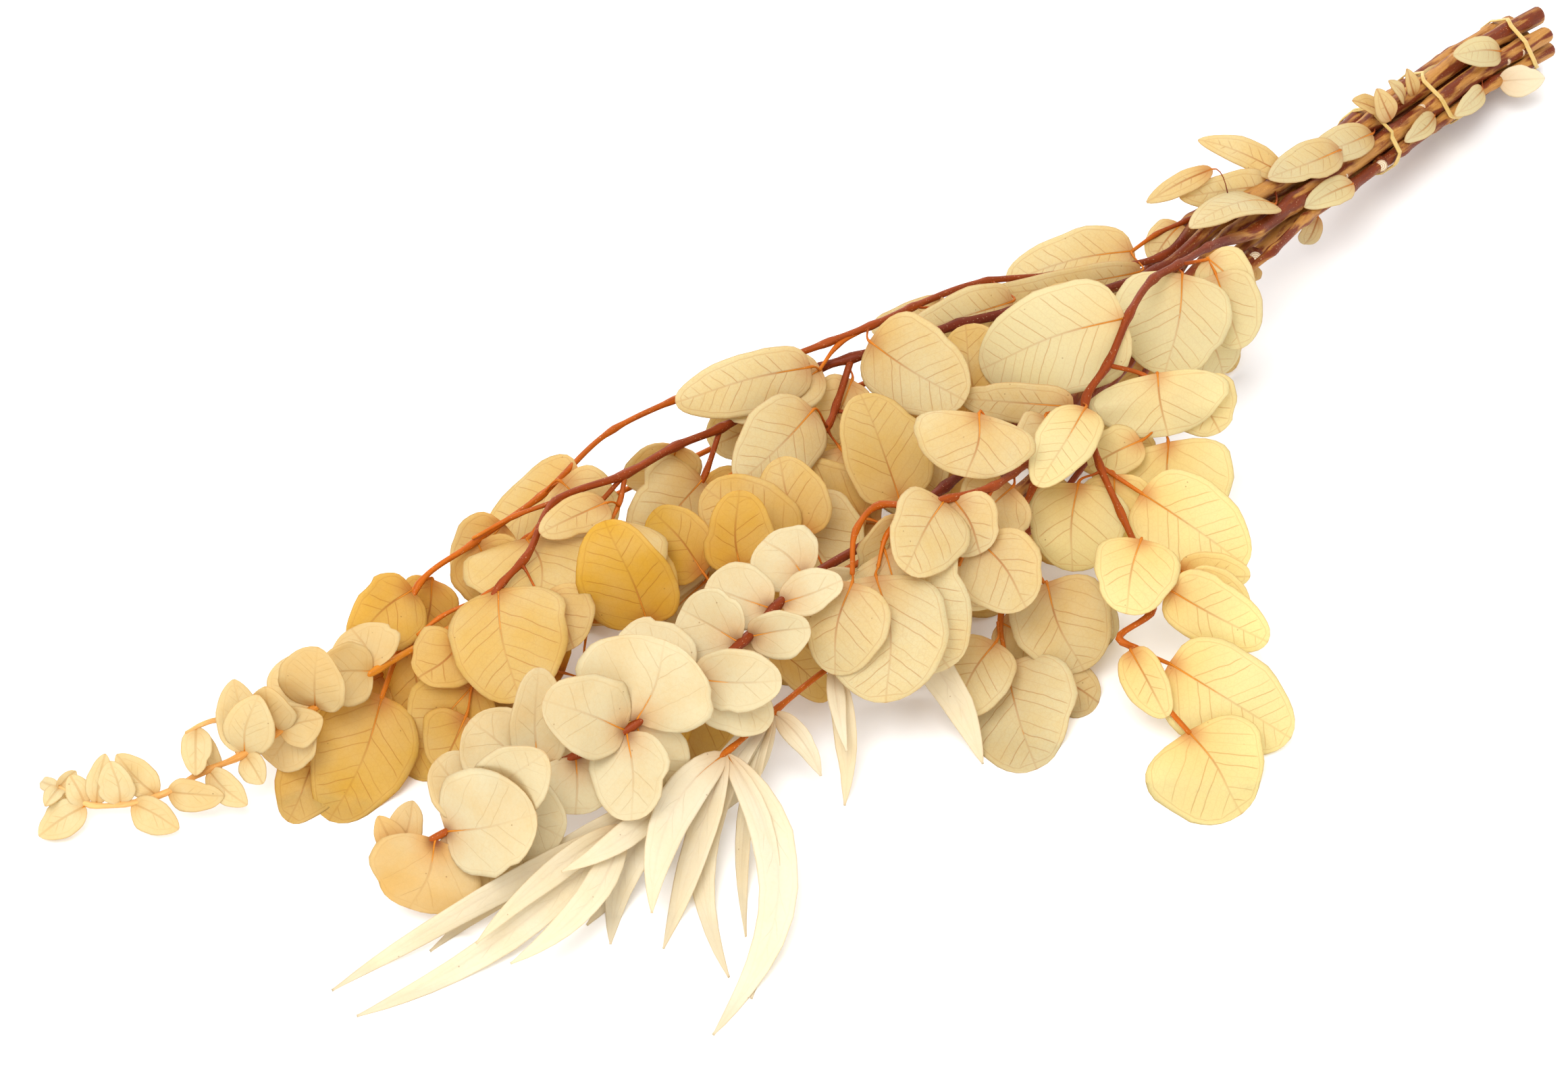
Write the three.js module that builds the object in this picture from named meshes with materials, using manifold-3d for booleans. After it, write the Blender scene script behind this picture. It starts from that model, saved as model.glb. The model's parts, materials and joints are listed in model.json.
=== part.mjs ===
// A bunch of dried, bleached eucalyptus, lying on a surface. Millimetres, +Z up, +X towards the cut ends.
// Each leafy stem is one solid: its wood, its twigs, the leaf stalks and the leaves, grown together.
import * as THREE from "three";
import { mergeVertices } from "three/addons/utils/BufferGeometryUtils.js";
import Module from "manifold-3d";

const wasm = await Module();
wasm.setup();

// ---------------------------------------------------------------- driving dimensions
const BLADE = 0.8; // thickness of a leaf blade
const GAP = 0.35; // air between pieces that lie against each other
const STALK = 0.5; // half the width of a leaf stalk
const TWIG = 0.85; // radius of a side twig
const HOVER = 0.02; // lowest face of a blade, before the bunch is set down
const BAND_WIDE = 2.2; // elastic band, measured along the bundle
const BAND_THICK = 1.3; // elastic band, measured outwards
const BAND_SLACK = 0.45; // air between the band and the stems

// Places are read in one picture of the bunch, taken from above at a slant.
// A place is [pixels right, pixels down] there, with a height over the surface or a nearness to the viewer.
const PICTURE = { width: 2322, height: 1596, focal: 5482.5 };
const VIEW = { azimuth: -40, elevation: 40, distance: 1208, aim: new THREE.Vector3(0, 0, 40) };

// ---------------------------------------------------------------- from the picture to the bunch
const azimuth = THREE.MathUtils.degToRad(VIEW.azimuth);
const elevation = THREE.MathUtils.degToRad(VIEW.elevation);
const BACK = new THREE.Vector3(
  Math.sin(azimuth) * Math.cos(elevation),
  -Math.cos(azimuth) * Math.cos(elevation),
  Math.sin(elevation),
);
const RIGHT = new THREE.Vector3(Math.cos(azimuth), Math.sin(azimuth), 0);
const UP = BACK.clone().cross(RIGHT);
const EYE = VIEW.aim.clone().addScaledVector(BACK, VIEW.distance);

// Direction of the line of sight through a picture point, one millimetre deep along the view.
function sight([u, v]) {
  return BACK.clone()
    .negate()
    .addScaledVector(RIGHT, (u - PICTURE.width / 2) / PICTURE.focal)
    .addScaledVector(UP, (PICTURE.height / 2 - v) / PICTURE.focal);
}

const atDepth = (uv, depth) => EYE.clone().addScaledVector(sight(uv), depth);
const depthAtHeight = (uv, height) => (height - EYE.z) / sight(uv).z;
const atHeight = ([u, v, height]) => atDepth([u, v], depthAtHeight([u, v], height));
const depthOf = (p) => EYE.clone().sub(p).dot(BACK);

// ---------------------------------------------------------------- solids
function solid(points, faces) {
  const geometry = new THREE.BufferGeometry().setFromPoints(points);
  geometry.setIndex(faces.flat());
  const merged = mergeVertices(geometry, 1e-5);
  const mesh = new wasm.Mesh({
    numProp: 3,
    vertProperties: merged.attributes.position.array,
    triVerts: new Uint32Array(merged.index.array),
  });
  return new wasm.Manifold(mesh);
}

// A rod through points, with one radius per point and a regular section.
function rod(points, radii, sides) {
  const ring = [];
  let across = new THREE.Vector3(0, 0, 1);
  points.forEach((p, i) => {
    const before = points[Math.max(i - 1, 0)];
    const after = points[Math.min(i + 1, points.length - 1)];
    const along = after.clone().sub(before).normalize();
    across = across.clone().addScaledVector(along, -across.dot(along)).normalize();
    const third = along.clone().cross(across);
    for (let k = 0; k < sides; k++) {
      const angle = (2 * Math.PI * k) / sides;
      ring.push(
        p
          .clone()
          .addScaledVector(across, radii[i] * Math.cos(angle))
          .addScaledVector(third, radii[i] * Math.sin(angle)),
      );
    }
  });
  const faces = [];
  for (let i = 0; i + 1 < points.length; i++)
    for (let k = 0; k < sides; k++) {
      const a = i * sides + k;
      const b = i * sides + ((k + 1) % sides);
      faces.push([a, b, b + sides], [a, b + sides, a + sides]);
    }
  const last = (points.length - 1) * sides;
  for (let k = 1; k + 1 < sides; k++) {
    faces.push([0, k + 1, k]);
    faces.push([last, last + k, last + k + 1]);
  }
  return solid(ring, faces);
}

// ---------------------------------------------------------------- leaves
// Half width along a blade is sin(pi s^low)^full: low sets where it is widest, full how round it is.
// rows are where the blade is creased across, columns where along.
const KINDS = {
  plain: { low: 0.7, full: 0.43, rows: [0.14, 0.66], columns: [-1, 1], cup: 0, arch: 0.06 },
  dollar: { low: 0.7, full: 0.43, rows: [0.1, 0.42, 0.82], columns: [-1, 0, 1], cup: -0.1, arch: 0.06 },
  curled: { low: 0.72, full: 0.55, rows: [0.13, 0.45, 0.83], columns: [-1, 0, 1], cup: -0.1, arch: 0.12 },
  round: { low: 0.85, full: 0.43, rows: [0.12, 0.48, 0.86], columns: [-1, 0, 1], cup: 0.14, arch: 0.03 },
  oval: { low: 0.8, full: 0.58, rows: [0.2, 0.72], columns: [-1, 1], cup: 0, arch: 0.06 },
  ribbon: { low: 0.7, full: 0.75, rows: [0.12, 0.36, 0.62, 0.85], columns: [-1, 1], cup: 0, arch: 0.05 },
};

// A blade's middle surface: s runs from its base to its tip, t from edge to edge.
class Blade {
  constructor({ stalk, base, tip, facing, width, kind, bow = 0 }) {
    const shape = KINDS[kind];
    this.shape = shape;
    this.stalk = stalk; // where the stalk starts, if there is one
    this.base = base;
    this.width = width;
    this.along = tip.clone().sub(base);
    this.length = this.along.length();
    this.along.normalize();
    this.face = facing.clone().addScaledVector(this.along, -facing.dot(this.along)).normalize();
    this.side = this.face.clone().cross(this.along);
    this.bow = bow;
  }

  halfWidth(s) {
    const { low, full } = this.shape;
    return (this.width / 2) * Math.pow(Math.max(Math.sin(Math.PI * Math.pow(s, low)), 0), full);
  }

  // The point at (s, t), and the way the blade faces there.
  at(s, t, wider = 0) {
    const { cup, arch } = this.shape;
    const swell = 4 * s * (1 - s) * this.length;
    const tilt = 4 * (1 - 2 * s);
    const run = this.along
      .clone()
      .addScaledVector(this.side, this.bow * tilt)
      .addScaledVector(this.face, arch * tilt)
      .normalize();
    const across = this.face.clone().cross(run).normalize();
    const out = run.clone().cross(across);
    const half = this.halfWidth(s);
    const point = this.base
      .clone()
      .addScaledVector(this.along, s * this.length)
      .addScaledVector(this.side, this.bow * swell)
      .addScaledVector(this.face, arch * swell)
      .addScaledVector(across, (half + (half > 0 ? wider : 0)) * t)
      .addScaledVector(out, cup * half * t * t);
    return { point, out };
  }

  // The rows of points that a solid needs, each with its outward way: from the stalk's start, if there is
  // one, or the base to the tip; or only the body, from the first crease on.
  rows(wider, bodyOnly) {
    const rows = this.shape.rows.map((s) => this.shape.columns.map((t) => this.at(s, t, wider)));
    if (bodyOnly) return [...rows, [this.at(1, 0)]];
    const base = this.at(0, 0);
    if (!this.stalk) return [[base], ...rows, [this.at(1, 0)]];
    const run = this.base.clone().sub(this.stalk).normalize();
    const side = this.side.clone().addScaledVector(run, -this.side.dot(run)).normalize();
    const out = run.clone().cross(side);
    const bent = out.clone().add(base.out).normalize();
    const pair = (p, way) => [-1, 1].map((t) => ({ point: p.clone().addScaledVector(side, t * (STALK + wider)), out: way }));
    return [pair(this.stalk, out), pair(this.base, bent), ...rows, [this.at(1, 0)]];
  }

  // The blade and its stalk as a closed solid, alike on both faces.
  // Where it would pass below the surface it lies along it instead, slid up the line of sight.
  solid(spare = 0, bodyOnly = false) {
    const rows = this.rows(spare, bodyOnly);
    const flat = rows.flat();
    const thick = BLADE / 2 + spare;
    const points = [1, -1].flatMap((face) =>
      flat.map(({ point, out }) => {
        const low = (BLADE / 2) * Math.abs(out.z) + HOVER;
        const sunk = Math.max(low - point.z, 0) / BACK.z;
        return point.clone().addScaledVector(BACK, sunk).addScaledVector(out, face * thick);
      }),
    );
    const count = flat.length;
    const first = rows.map((row, i) => rows.slice(0, i).flat().length);
    const last = rows.map((row, i) => first[i] + row.length - 1);
    const top = rows.slice(1).flatMap((row, i) => strip(first[i], rows[i].length, first[i + 1], row.length));
    const inner = rows[0].slice(1, -1).map((_, k) => k + 1).reverse();
    const rim = [...first, ...last.slice(0, -1).reverse(), ...inner].filter((v, i, all) => v !== all[i - 1]);
    const edge = rim.flatMap((v, i) => {
      const w = rim[(i + 1) % rim.length];
      return v === w ? [] : [[v, v + count, w + count], [v, w + count, w]];
    });
    return solid(points, [...top, ...top.map(([p, q, r]) => [p + count, r + count, q + count]), ...edge]);
  }
}

// The triangles between a row of m points from number a on, and the next row of n points from number b on.
function strip(a, m, b, n) {
  if (m === 1) return Array.from({ length: n - 1 }, (_, k) => [a, b + k, b + k + 1]);
  if (n === 1) return Array.from({ length: m - 1 }, (_, k) => [a + k, b, a + k + 1]);
  if (m === 2 && n === 3) return [[a, b, b + 1], [a, b + 1, a + 1], [a + 1, b + 1, b + 2]];
  return Array.from({ length: n - 1 }, (_, k) =>
    k === 0
      ? [[a, b, b + 1], [a, b + 1, a + 1]]
      : [[a + k, b + k, a + k + 1], [a + k + 1, b + k, b + k + 1]],
  ).flat();
}

// ---------------------------------------------------------------- the bundle of woody stems
// Middle of the bundle, from the cut ends inwards, and each stem's seat beside it: [across, up, radius].
const BUNDLE = [
  [2276, 50, 11.5],
  [2228, 76, 13.5],
  [2172, 108, 16],
  [2100, 160, 20],
  [2034, 206, 24],
  [1956, 262, 29],
  [1884, 308, 35],
  [1822, 350, 41],
].map(atHeight);
const SPREAD = [1, 1, 1, 1, 1, 1, 1.12, 1.4]; // how far the seats stand apart at each point
const THINNING = [1, 1, 1, 1, 1, 1, 0.9, 0.7]; // a stem's radius at each point, over its seat's

const SEATS = {
  leafy_stem_dark_red: [-1, 8, 3.7],
  leafy_stem_right: [6.8, 4.2, 3.6],
  leafy_stem_front: [7, -3.8, 3.4],
  bare_woody_stem: [-0.6, 0.2, 3.4],
  leafy_stem_under: [0.2, -7.4, 3.3],
  leafy_stem_top: [-7.8, 4.4, 3.5],
  round_leaved_stem: [-7.4, -3.4, 3.2],
  willow_leaved_stem: [12.2, 0.4, 2.2],
  small_leaved_spray: [-12.4, 0.6, 2.1],
  leafy_stem_back: [-13.3, -5.2, 2.6],
};

// How much shorter each stem is cut than the longest.
const CUT_BACK = {
  leafy_stem_dark_red: 0,
  leafy_stem_right: 5,
  leafy_stem_front: 1,
  bare_woody_stem: 7,
  leafy_stem_under: 3,
  leafy_stem_top: 9,
  round_leaved_stem: 6,
  willow_leaved_stem: 22,
  small_leaved_spray: 30,
  leafy_stem_back: 16,
};

// Along the bundle, across it towards the viewer, and up from it, at its i-th point.
function bundleFrame(i) {
  const before = BUNDLE[Math.max(i - 1, 0)];
  const after = BUNDLE[Math.min(i + 1, BUNDLE.length - 1)];
  const along = after.clone().sub(before).normalize();
  const across = along.clone().cross(new THREE.Vector3(0, 0, 1)).normalize().negate();
  return { along, across, up: along.clone().cross(across) };
}

function seatPoints(name) {
  const [across, up] = SEATS[name];
  const points = BUNDLE.map((p, i) => {
    const frame = bundleFrame(i);
    return p
      .clone()
      .addScaledVector(frame.across, across * SPREAD[i])
      .addScaledVector(frame.up, up * SPREAD[i]);
  });
  const inwards = points[1].clone().sub(points[0]).normalize();
  points[0].addScaledVector(inwards, CUT_BACK[name]);
  return points;
}

// ---------------------------------------------------------------- the leafy stems, read from the picture
const leaf = (base, tip, width, lean = 0, roll = 0, more = {}) => ({ base, tip, width, lean, roll, ...more });
const twig = (points, lean = 0, radius = TWIG) => ({ points, lean, radius });

const STEMS = {
  // The stem that makes the upper outline, with a side branch of leaves over the bundle's neck.
  leafy_stem_top: {
    kind: "dollar",
    wood: [
      [1720, 380, 44],
      [1640, 398, 43],
      [1560, 408, 44],
      [1462, 416, 51],
      [1350, 455, 60],
      [1290, 482, 65],
      [1226, 507, 63],
      [1110, 550, 58],
      [999, 592, 56],
      [908, 636, 54],
      [800, 735, 51],
      [700, 805, 49],
      [619, 867, 45],
      [593, 952, 34],
      [565, 1034, 26],
    ],
    thick: 1.3,
    thin: 0.85,
    twigs: [
      twig([[1820, 330], [1755, 328], [1712, 347], [1676, 372]], 15, 1),
      twig([[1290, 482], [1240, 512], [1213, 548]], 9),
      twig([[593, 952], [555, 985], [518, 1014], [495, 1035]], 3),
      twig([[619, 867], [603, 885], [604, 920], [609, 955]], 5),
    ],
    leaves: [
      leaf([1672, 370], [1490, 418], 108, 5, 8),
      leaf([1700, 337], [1592, 363], 78, 2, -25),
      leaf([1765, 330], [1706, 388], 70, -4, 16),
      leaf([1690, 402], [1445, 438], 60, -4, -30),
      leaf([1287, 505], [1430, 594], 142, 8, 8),
      leaf([1211, 547], [1074, 614], 98, 5, 8),
      leaf([1201, 543], [1000, 596], 96, 1, -8),
      leaf([1405, 452], [1290, 494], 64, -4, -20),
      leaf([858, 697], [708, 845], 140, -9, 6),
      leaf([609, 957], [642, 1094], 112, -8, 8),
      leaf([565, 1035], [492, 1213], 156, -8, 0),
      leaf([482, 1090], [432, 1213], 120, -9, -10),
      leaf([601, 960], [546, 898], 100, -8, 6),
      leaf([640, 858], [628, 938], 96, -8, 12),
      leaf([1110, 575], [1135, 690], 122, -10, 8, { kind: "plain" }),
      leaf([830, 712], [902, 790], 118, -12, -14, { kind: "plain" }),
      leaf([700, 812], [762, 888], 124, -12, 8, { kind: "plain" }),
      leaf([612, 872], [520, 955], 110, -12, -10, { kind: "plain" }),
      leaf([565, 1000], [470, 1075], 120, -12, 6, { kind: "plain" }),
      leaf([2282, 38], [2214, 32], 20, 3, 30, { kind: "oval" }),
      leaf([1500, 446], [1340, 496], 84, -1, -16),
      leaf([745, 775], [690, 872], 112, -14, 10, { kind: "plain" }),
    ],
  },
  // The dark red stem through the middle, and its second branch to the front.
  leafy_stem_dark_red: {
    kind: "dollar",
    wood: [
      [1710, 402, 50],
      [1600, 440, 51],
      [1500, 462, 54],
      [1420, 480, 58],
      [1345, 505, 60],
      [1261, 530, 58],
      [1212, 545, 55],
      [1140, 590, 47],
      [1067, 634, 54],
      [1000, 661, 58],
      [926, 702, 60],
      [823, 742, 59],
      [775, 830, 56],
      [742, 865, 53],
      [700, 930, 45],
      [680, 953, 42],
    ],
    thick: 1.8,
    thin: 0.95,
    twigs: [
      twig([[1261, 530], [1238, 601], [1227, 629], [1197, 661], [1163, 688], [1117, 712], [1095, 750], [1040, 810]], 40, 1.2),
      twig([[1067, 634], [1045, 700], [1010, 770], [983, 814], [955, 838]], 6, 0.95),
      twig([[926, 702], [870, 760], [776, 798], [748, 830]], 3),
      twig([[926, 702], [918, 742], [905, 772]], 3),
      twig([[823, 742], [760, 765], [700, 797]], 2),
      twig([[823, 742], [797, 780], [780, 800]], 2),
      twig([[742, 865], [720, 880], [650, 915], [618, 940]], 2, 0.75),
      twig([[742, 865], [728, 947], [700, 1016]], 3),
      twig([[728, 947], [690, 985], [660, 1002]], 2, 0.75),
    ],
    leaves: [
      leaf([1243, 662], [1262, 748], 193, 4, 4),
      leaf([1205, 606], [1094, 716], 123, 1, -8),
      leaf([1352, 620], [1257, 652], 98, -3, -20),
      leaf([1350, 648], [1342, 756], 119, -7, 8),
      leaf([1183, 738], [1250, 862], 146, 2, 10),
      leaf([1130, 722], [1046, 844], 70, 4, 20),
      leaf([1078, 762], [1010, 800], 53, 3, -20),
      leaf([1037, 818], [850, 914], 104, 5, 4),
      leaf([1043, 862], [956, 960], 89, -1, 12),
      leaf([1050, 699], [944, 824], 156, -8, -6),
      leaf([905, 777], [882, 884], 186, -8, 6),
      leaf([898, 744], [800, 790], 66, -8, 20),
      leaf([778, 803], [798, 908], 206, -8, -4),
      leaf([745, 870], [770, 1038], 184, -8, 0),
      leaf([688, 948], [620, 1004], 108, -8, 14),
      leaf([697, 1020], [603, 1150], 140, -8, -8),
      leaf([690, 1060], [652, 1140], 104, -12, 10, { kind: "plain" }),
      leaf([1120, 778], [1190, 852], 104, -7, -12),
      leaf([1000, 668], [955, 730], 112, -12, 8, { kind: "plain" }),
      leaf([1340, 520], [1420, 612], 131, -12, 10, { kind: "plain" }),
      leaf([1145, 602], [1052, 662], 112, -12, 0, { kind: "plain" }),
      leaf([800, 880], [850, 960], 128, -12, 6, { kind: "plain" }),
      leaf([1905, 262], [1774, 206], 54, 4, 26, { kind: "curled" }),
      leaf([1890, 280], [1748, 292], 64, 5, -8, { kind: "curled" }),
      leaf([1886, 302], [1762, 338], 76, 3, 12, { kind: "curled" }),
      leaf([1795, 250], [1698, 300], 36, 3, 10, { kind: "oval" }),
      leaf([2032, 198], [1930, 237], 57, 3, 8, { kind: "oval" }),
      leaf([2046, 166], [2003, 149], 34, 5, 10, { kind: "oval" }),
      leaf([2060, 178], [2038, 131], 36, 1, -16, { kind: "oval" }),
      leaf([2080, 150], [2056, 120], 25, 1, 16, { kind: "oval" }),
      leaf([2094, 142], [2083, 102], 23, 0, 0, { kind: "oval" }),
      leaf([2150, 104], [2096, 120], 28, 3, 10, { kind: "oval" }),
      leaf([1985, 222], [1878, 264], 64, 1, 10, { kind: "oval" }),
      leaf([1262, 562], [1218, 654], 92, -14, 8, { kind: "plain" }),
    ],
  },
  // The stem over the neck: large leaves on top, then branches that hang down on the right.
  leafy_stem_right: {
    kind: "dollar",
    wood: [
      [1789, 366, 62],
      [1745, 392, 70],
      [1708, 413, 75],
      [1672, 466, 76],
      [1640, 540, 66],
      [1608, 590, 61],
      [1616, 650, 57],
      [1629, 690, 54],
      [1660, 760, 47],
      [1690, 830, 40],
      [1706, 905, 34],
      [1658, 947, 30],
      [1690, 965, 27],
      [1719, 1034, 18],
      [1762, 1086, 12],
    ],
    thick: 1.4,
    thin: 0.85,
    twigs: [
      twig([[1690, 965], [1735, 984]], 3),
      twig([[1629, 690], [1693, 732]], 4),
      twig([[1640, 540], [1700, 560], [1722, 632]], 2),
      twig([[1745, 392], [1790, 384]], -4, 0.8),
    ],
    leaves: [
      leaf([1667, 463], [1450, 548], 172, 4, -4),
      leaf([1751, 405], [1724, 556], 180, 3, 4),
      leaf([1792, 392], [1850, 448], 86, 0, 8),
      leaf([1800, 405], [1838, 516], 103, -4, 8),
      leaf([1714, 552], [1730, 646], 207, 1, 6),
      leaf([1770, 565], [1806, 640], 108, -5, -8),
      leaf([1730, 654], [1756, 790], 180, -2, 4),
      leaf([1715, 592], [1622, 634], 79, -5, -14),
      leaf([1690, 652], [1612, 692], 75, -4, 14),
      leaf([1608, 603], [1536, 722], 90, 7, 18),
      leaf([1686, 735], [1846, 838], 146, 5, -4),
      leaf([1745, 845], [1852, 854], 68, -3, 22),
      leaf([1730, 872], [1877, 950], 103, 0, 8),
      leaf([1716, 910], [1800, 985], 108, 3, -6),
      leaf([1756, 858], [1848, 905], 84, -7, 8, { kind: "plain" }),
      leaf([1730, 984], [1910, 1092], 160, 3, 0),
      leaf([1762, 1087], [1834, 1202], 186, 2, 2),
      leaf([1674, 962], [1728, 1062], 70, -2, 18),
      leaf([1597, 715], [1588, 846], 150, 3, 6),
      leaf([1650, 702], [1656, 852], 123, -1, 8),
      leaf([1690, 798], [1668, 908], 128, 2, 6),
      leaf([1765, 470], [1812, 556], 106, -8, 0, { kind: "plain" }),
      leaf([2125, 172], [2080, 210], 33, 1, -14, { kind: "oval" }),
      leaf([2222, 76], [2150, 82], 48, 6, 0, { kind: "oval" }),
      leaf([2196, 132], [2152, 172], 34, 5, -14, { kind: "oval" }),
      leaf([2004, 272], [1932, 306], 44, 1, 6, { kind: "oval" }),
    ],
  },
  // The stem that carries the cluster at the front.
  leafy_stem_front: {
    kind: "dollar",
    wood: [
      [1735, 460, 42],
      [1670, 540, 46],
      [1600, 620, 51],
      [1545, 670, 57],
      [1500, 700, 65],
      [1471, 720, 70],
      [1405, 738, 73],
      [1348, 748, 74],
      [1301, 748, 74],
      [1268, 784, 72],
      [1262, 850, 66],
    ],
    thick: 1.5,
    thin: 0.85,
    twigs: [
      twig([[1348, 748], [1312, 794], [1300, 840]], 5),
      twig([[1405, 738], [1362, 790], [1354, 818]], 5),
      twig([[1471, 720], [1445, 770], [1420, 837]], 5),
      twig([[1545, 670], [1530, 720], [1504, 792], [1514, 834], [1482, 913], [1491, 985]], 9, 1.1),
      twig([[1504, 792], [1530, 838], [1556, 878]], 4),
    ],
    leaves: [
      leaf([1297, 852], [1312, 1040], 199, 4, 2),
      leaf([1262, 862], [1236, 1000], 130, -10, 10),
      leaf([1310, 815], [1406, 990], 186, 2, 6),
      leaf([1440, 780], [1436, 905], 168, -10, 8),
      leaf([1405, 748], [1340, 846], 127, -9, 8),
      leaf([1450, 612], [1430, 707], 184, 8, 4),
      leaf([1590, 602], [1420, 588], 67, -6, -20),
      leaf([1548, 616], [1532, 700], 86, -5, 12),
      leaf([1550, 862], [1606, 994], 156, 2, -4),
      leaf([1556, 882], [1640, 960], 119, -6, 12, { kind: "plain" }),
      leaf([1553, 1000], [1627, 1040], 91, -3, -14),
      leaf([1493, 985], [1532, 1136], 186, 4, 0),
      leaf([1485, 915], [1560, 966], 91, 1, 12),
      leaf([1475, 950], [1412, 1060], 112, -5, 8),
      leaf([1450, 800], [1520, 900], 130, -8, 6, { kind: "plain" }),
      leaf([1340, 760], [1290, 860], 121, -7, -6, { kind: "plain" }),
      leaf([1500, 720], [1440, 790], 119, -8, 6, { kind: "plain" }),
      leaf([1952, 322], [1930, 364], 32, 0, 0, { kind: "oval" }),
      leaf([1862, 376], [1846, 420], 43, -2, 10, { kind: "oval" }),
      leaf([1400, 745], [1452, 820], 110, -14, -8, { kind: "plain" }),
    ],
  },
  // Round leaves that sit in pairs straight on the stem.
  round_leaved_stem: {
    kind: "round",
    wood: [
      [1700, 470, 34],
      [1540, 600, 44],
      [1400, 720, 52],
      [1290, 800, 57],
      [1200, 855, 61],
      [1149, 898, 62],
      [1102, 948, 60],
      [1020, 1010, 54],
      [934, 1077, 47],
      [860, 1115, 41],
      [790, 1145, 36],
      [720, 1190, 31],
      [652, 1236, 27],
      [590, 1262, 22],
    ],
    thick: 1.7,
    thin: 0.8,
    twigs: [],
    sessile: true,
    leaves: [
      leaf([934, 1077], [985, 948], 211, 6, 0),
      leaf([934, 1077], [803, 1036], 125, 5, 8),
      leaf([934, 1077], [935, 1215], 121, 4, 10),
      leaf([934, 1077], [1004, 1170], 101, -3, -16),
      leaf([790, 1145], [886, 1060], 168, 6, 0),
      leaf([790, 1145], [696, 1066], 134, 3, 12),
      leaf([790, 1145], [798, 988], 85, -4, -12),
      leaf([720, 1190], [806, 1116], 110, 9, 4),
      leaf([720, 1190], [646, 1124], 101, 4, 14),
      leaf([652, 1236], [792, 1206], 168, 8, 0),
      leaf([720, 1190], [834, 1240], 134, 2, 8),
      leaf([652, 1236], [606, 1346], 170, 4, -6),
      leaf([652, 1236], [768, 1324], 119, 0, 8),
      leaf([1020, 1010], [1158, 1008], 101, 4, 14),
      leaf([1020, 1010], [1140, 1074], 94, -1, 8),
      leaf([1102, 948], [1008, 902], 125, 4, -12),
      leaf([1102, 948], [1200, 928], 83, 2, 26),
      leaf([1149, 898], [1044, 866], 105, 4, 16),
      leaf([1149, 898], [1248, 860], 72, 1, -26),
      leaf([1102, 948], [1068, 1046], 108, -5, -8),
      leaf([1020, 1010], [925, 930], 112, -6, 14),
      leaf([860, 1115], [852, 1206], 116, -4, 8),
      leaf([1200, 855], [1130, 800], 112, -5, 8),
      leaf([1200, 855], [1270, 940], 123, -6, -8),
      leaf([590, 1262], [560, 1208], 45, 2, 0, { kind: "oval" }),
      leaf([590, 1262], [574, 1292], 31, 0, 20, { kind: "oval" }),
      leaf([620, 1249], [612, 1186], 56, 0, 10, { kind: "oval" }),
    ],
  },
  // Long narrow leaves.
  willow_leaved_stem: {
    kind: "ribbon",
    wood: [
      [1750, 480, 34],
      [1640, 640, 33],
      [1540, 770, 31],
      [1430, 870, 33],
      [1330, 930, 34],
      [1240, 980, 33],
      [1150, 1050, 31],
      [1080, 1110, 29],
      [1000, 1170, 25],
      [920, 1225, 21],
    ],
    thick: 1.2,
    thin: 0.8,
    twigs: [],
    sessile: true,
    leaves: [
      leaf([920, 1225], [497, 1466], 45, 0, 8, { bow: -0.05 }),
      leaf([920, 1225], [530, 1500], 47, -4, -12, { bow: 0.06 }),
      leaf([920, 1225], [705, 1397], 40, 3, 20, { bow: -0.06 }),
      leaf([920, 1225], [757, 1425], 45, 5, 0, { bow: 0.1 }),
      leaf([920, 1225], [838, 1312], 34, 1, 10, { bow: 0.05 }),
      leaf([1000, 1170], [906, 1393], 56, 3, 14, { bow: -0.08 }),
      leaf([1000, 1170], [832, 1290], 40, -3, 0, { bow: 0.05 }),
      leaf([1000, 1170], [640, 1405], 43, -6, -8, { bow: -0.04 }),
      leaf([1000, 1170], [870, 1365], 40, -6, 10, { bow: 0.06 }),
      leaf([1080, 1110], [1057, 1528], 63, 4, 0, { bow: 0.2 }),
      leaf([1080, 1110], [985, 1400], 52, -2, 16, { bow: 0.04 }),
      leaf([1080, 1110], [965, 1352], 63, 2, -8, { bow: -0.12 }),
      leaf([1080, 1110], [1115, 1475], 31, -5, 10, { bow: 0.14 }),
      leaf([1150, 1050], [1077, 1438], 52, 2, -8, { bow: -0.16 }),
      leaf([1150, 1050], [1105, 1382], 38, -4, 14, { bow: -0.04 }),
      leaf([1150, 1050], [973, 1226], 45, 8, 0, { bow: 0.14 }),
      leaf([1150, 1050], [1215, 1150], 38, 0, 20, { bow: 0.1 }),
      leaf([1240, 980], [1250, 1193], 36, 2, 10, { bow: 0.06 }),
      leaf([1240, 980], [1254, 1112], 27, 6, -14, { bow: -0.04 }),
      leaf([1330, 930], [1455, 1130], 54, -3, 10, { bow: 0.06 }),
      leaf([1150, 1050], [1010, 1320], 47, -8, 0, { bow: -0.08 }),
      leaf([2206, 118], [2288, 116], 47, 1, 14, { kind: "oval" }),
    ],
  },
  // The small-leaved spray that makes the far tip.
  small_leaved_spray: {
    kind: "oval",
    wood: [
      [1660, 440, 35],
      [1500, 520, 35],
      [1250, 620, 34],
      [1000, 750, 36],
      [800, 860, 38],
      [660, 935, 38],
      [560, 990, 38],
      [460, 1052, 31],
      [405, 1088, 26],
      [355, 1120, 21],
      [300, 1143, 17],
      [240, 1176, 12],
      [187, 1190, 10],
      [135, 1192, 9],
      [88, 1167, 9],
    ],
    thick: 1.2,
    thin: 0.8,
    sides: 4,
    twigs: [twig([[355, 1120], [322, 1066], [298, 1073], [275, 1085]], 2, 0.75)],
    sessile: true,
    leaves: [
      leaf([560, 990], [520, 930], 110, 0, 6, { kind: "round" }),
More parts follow.
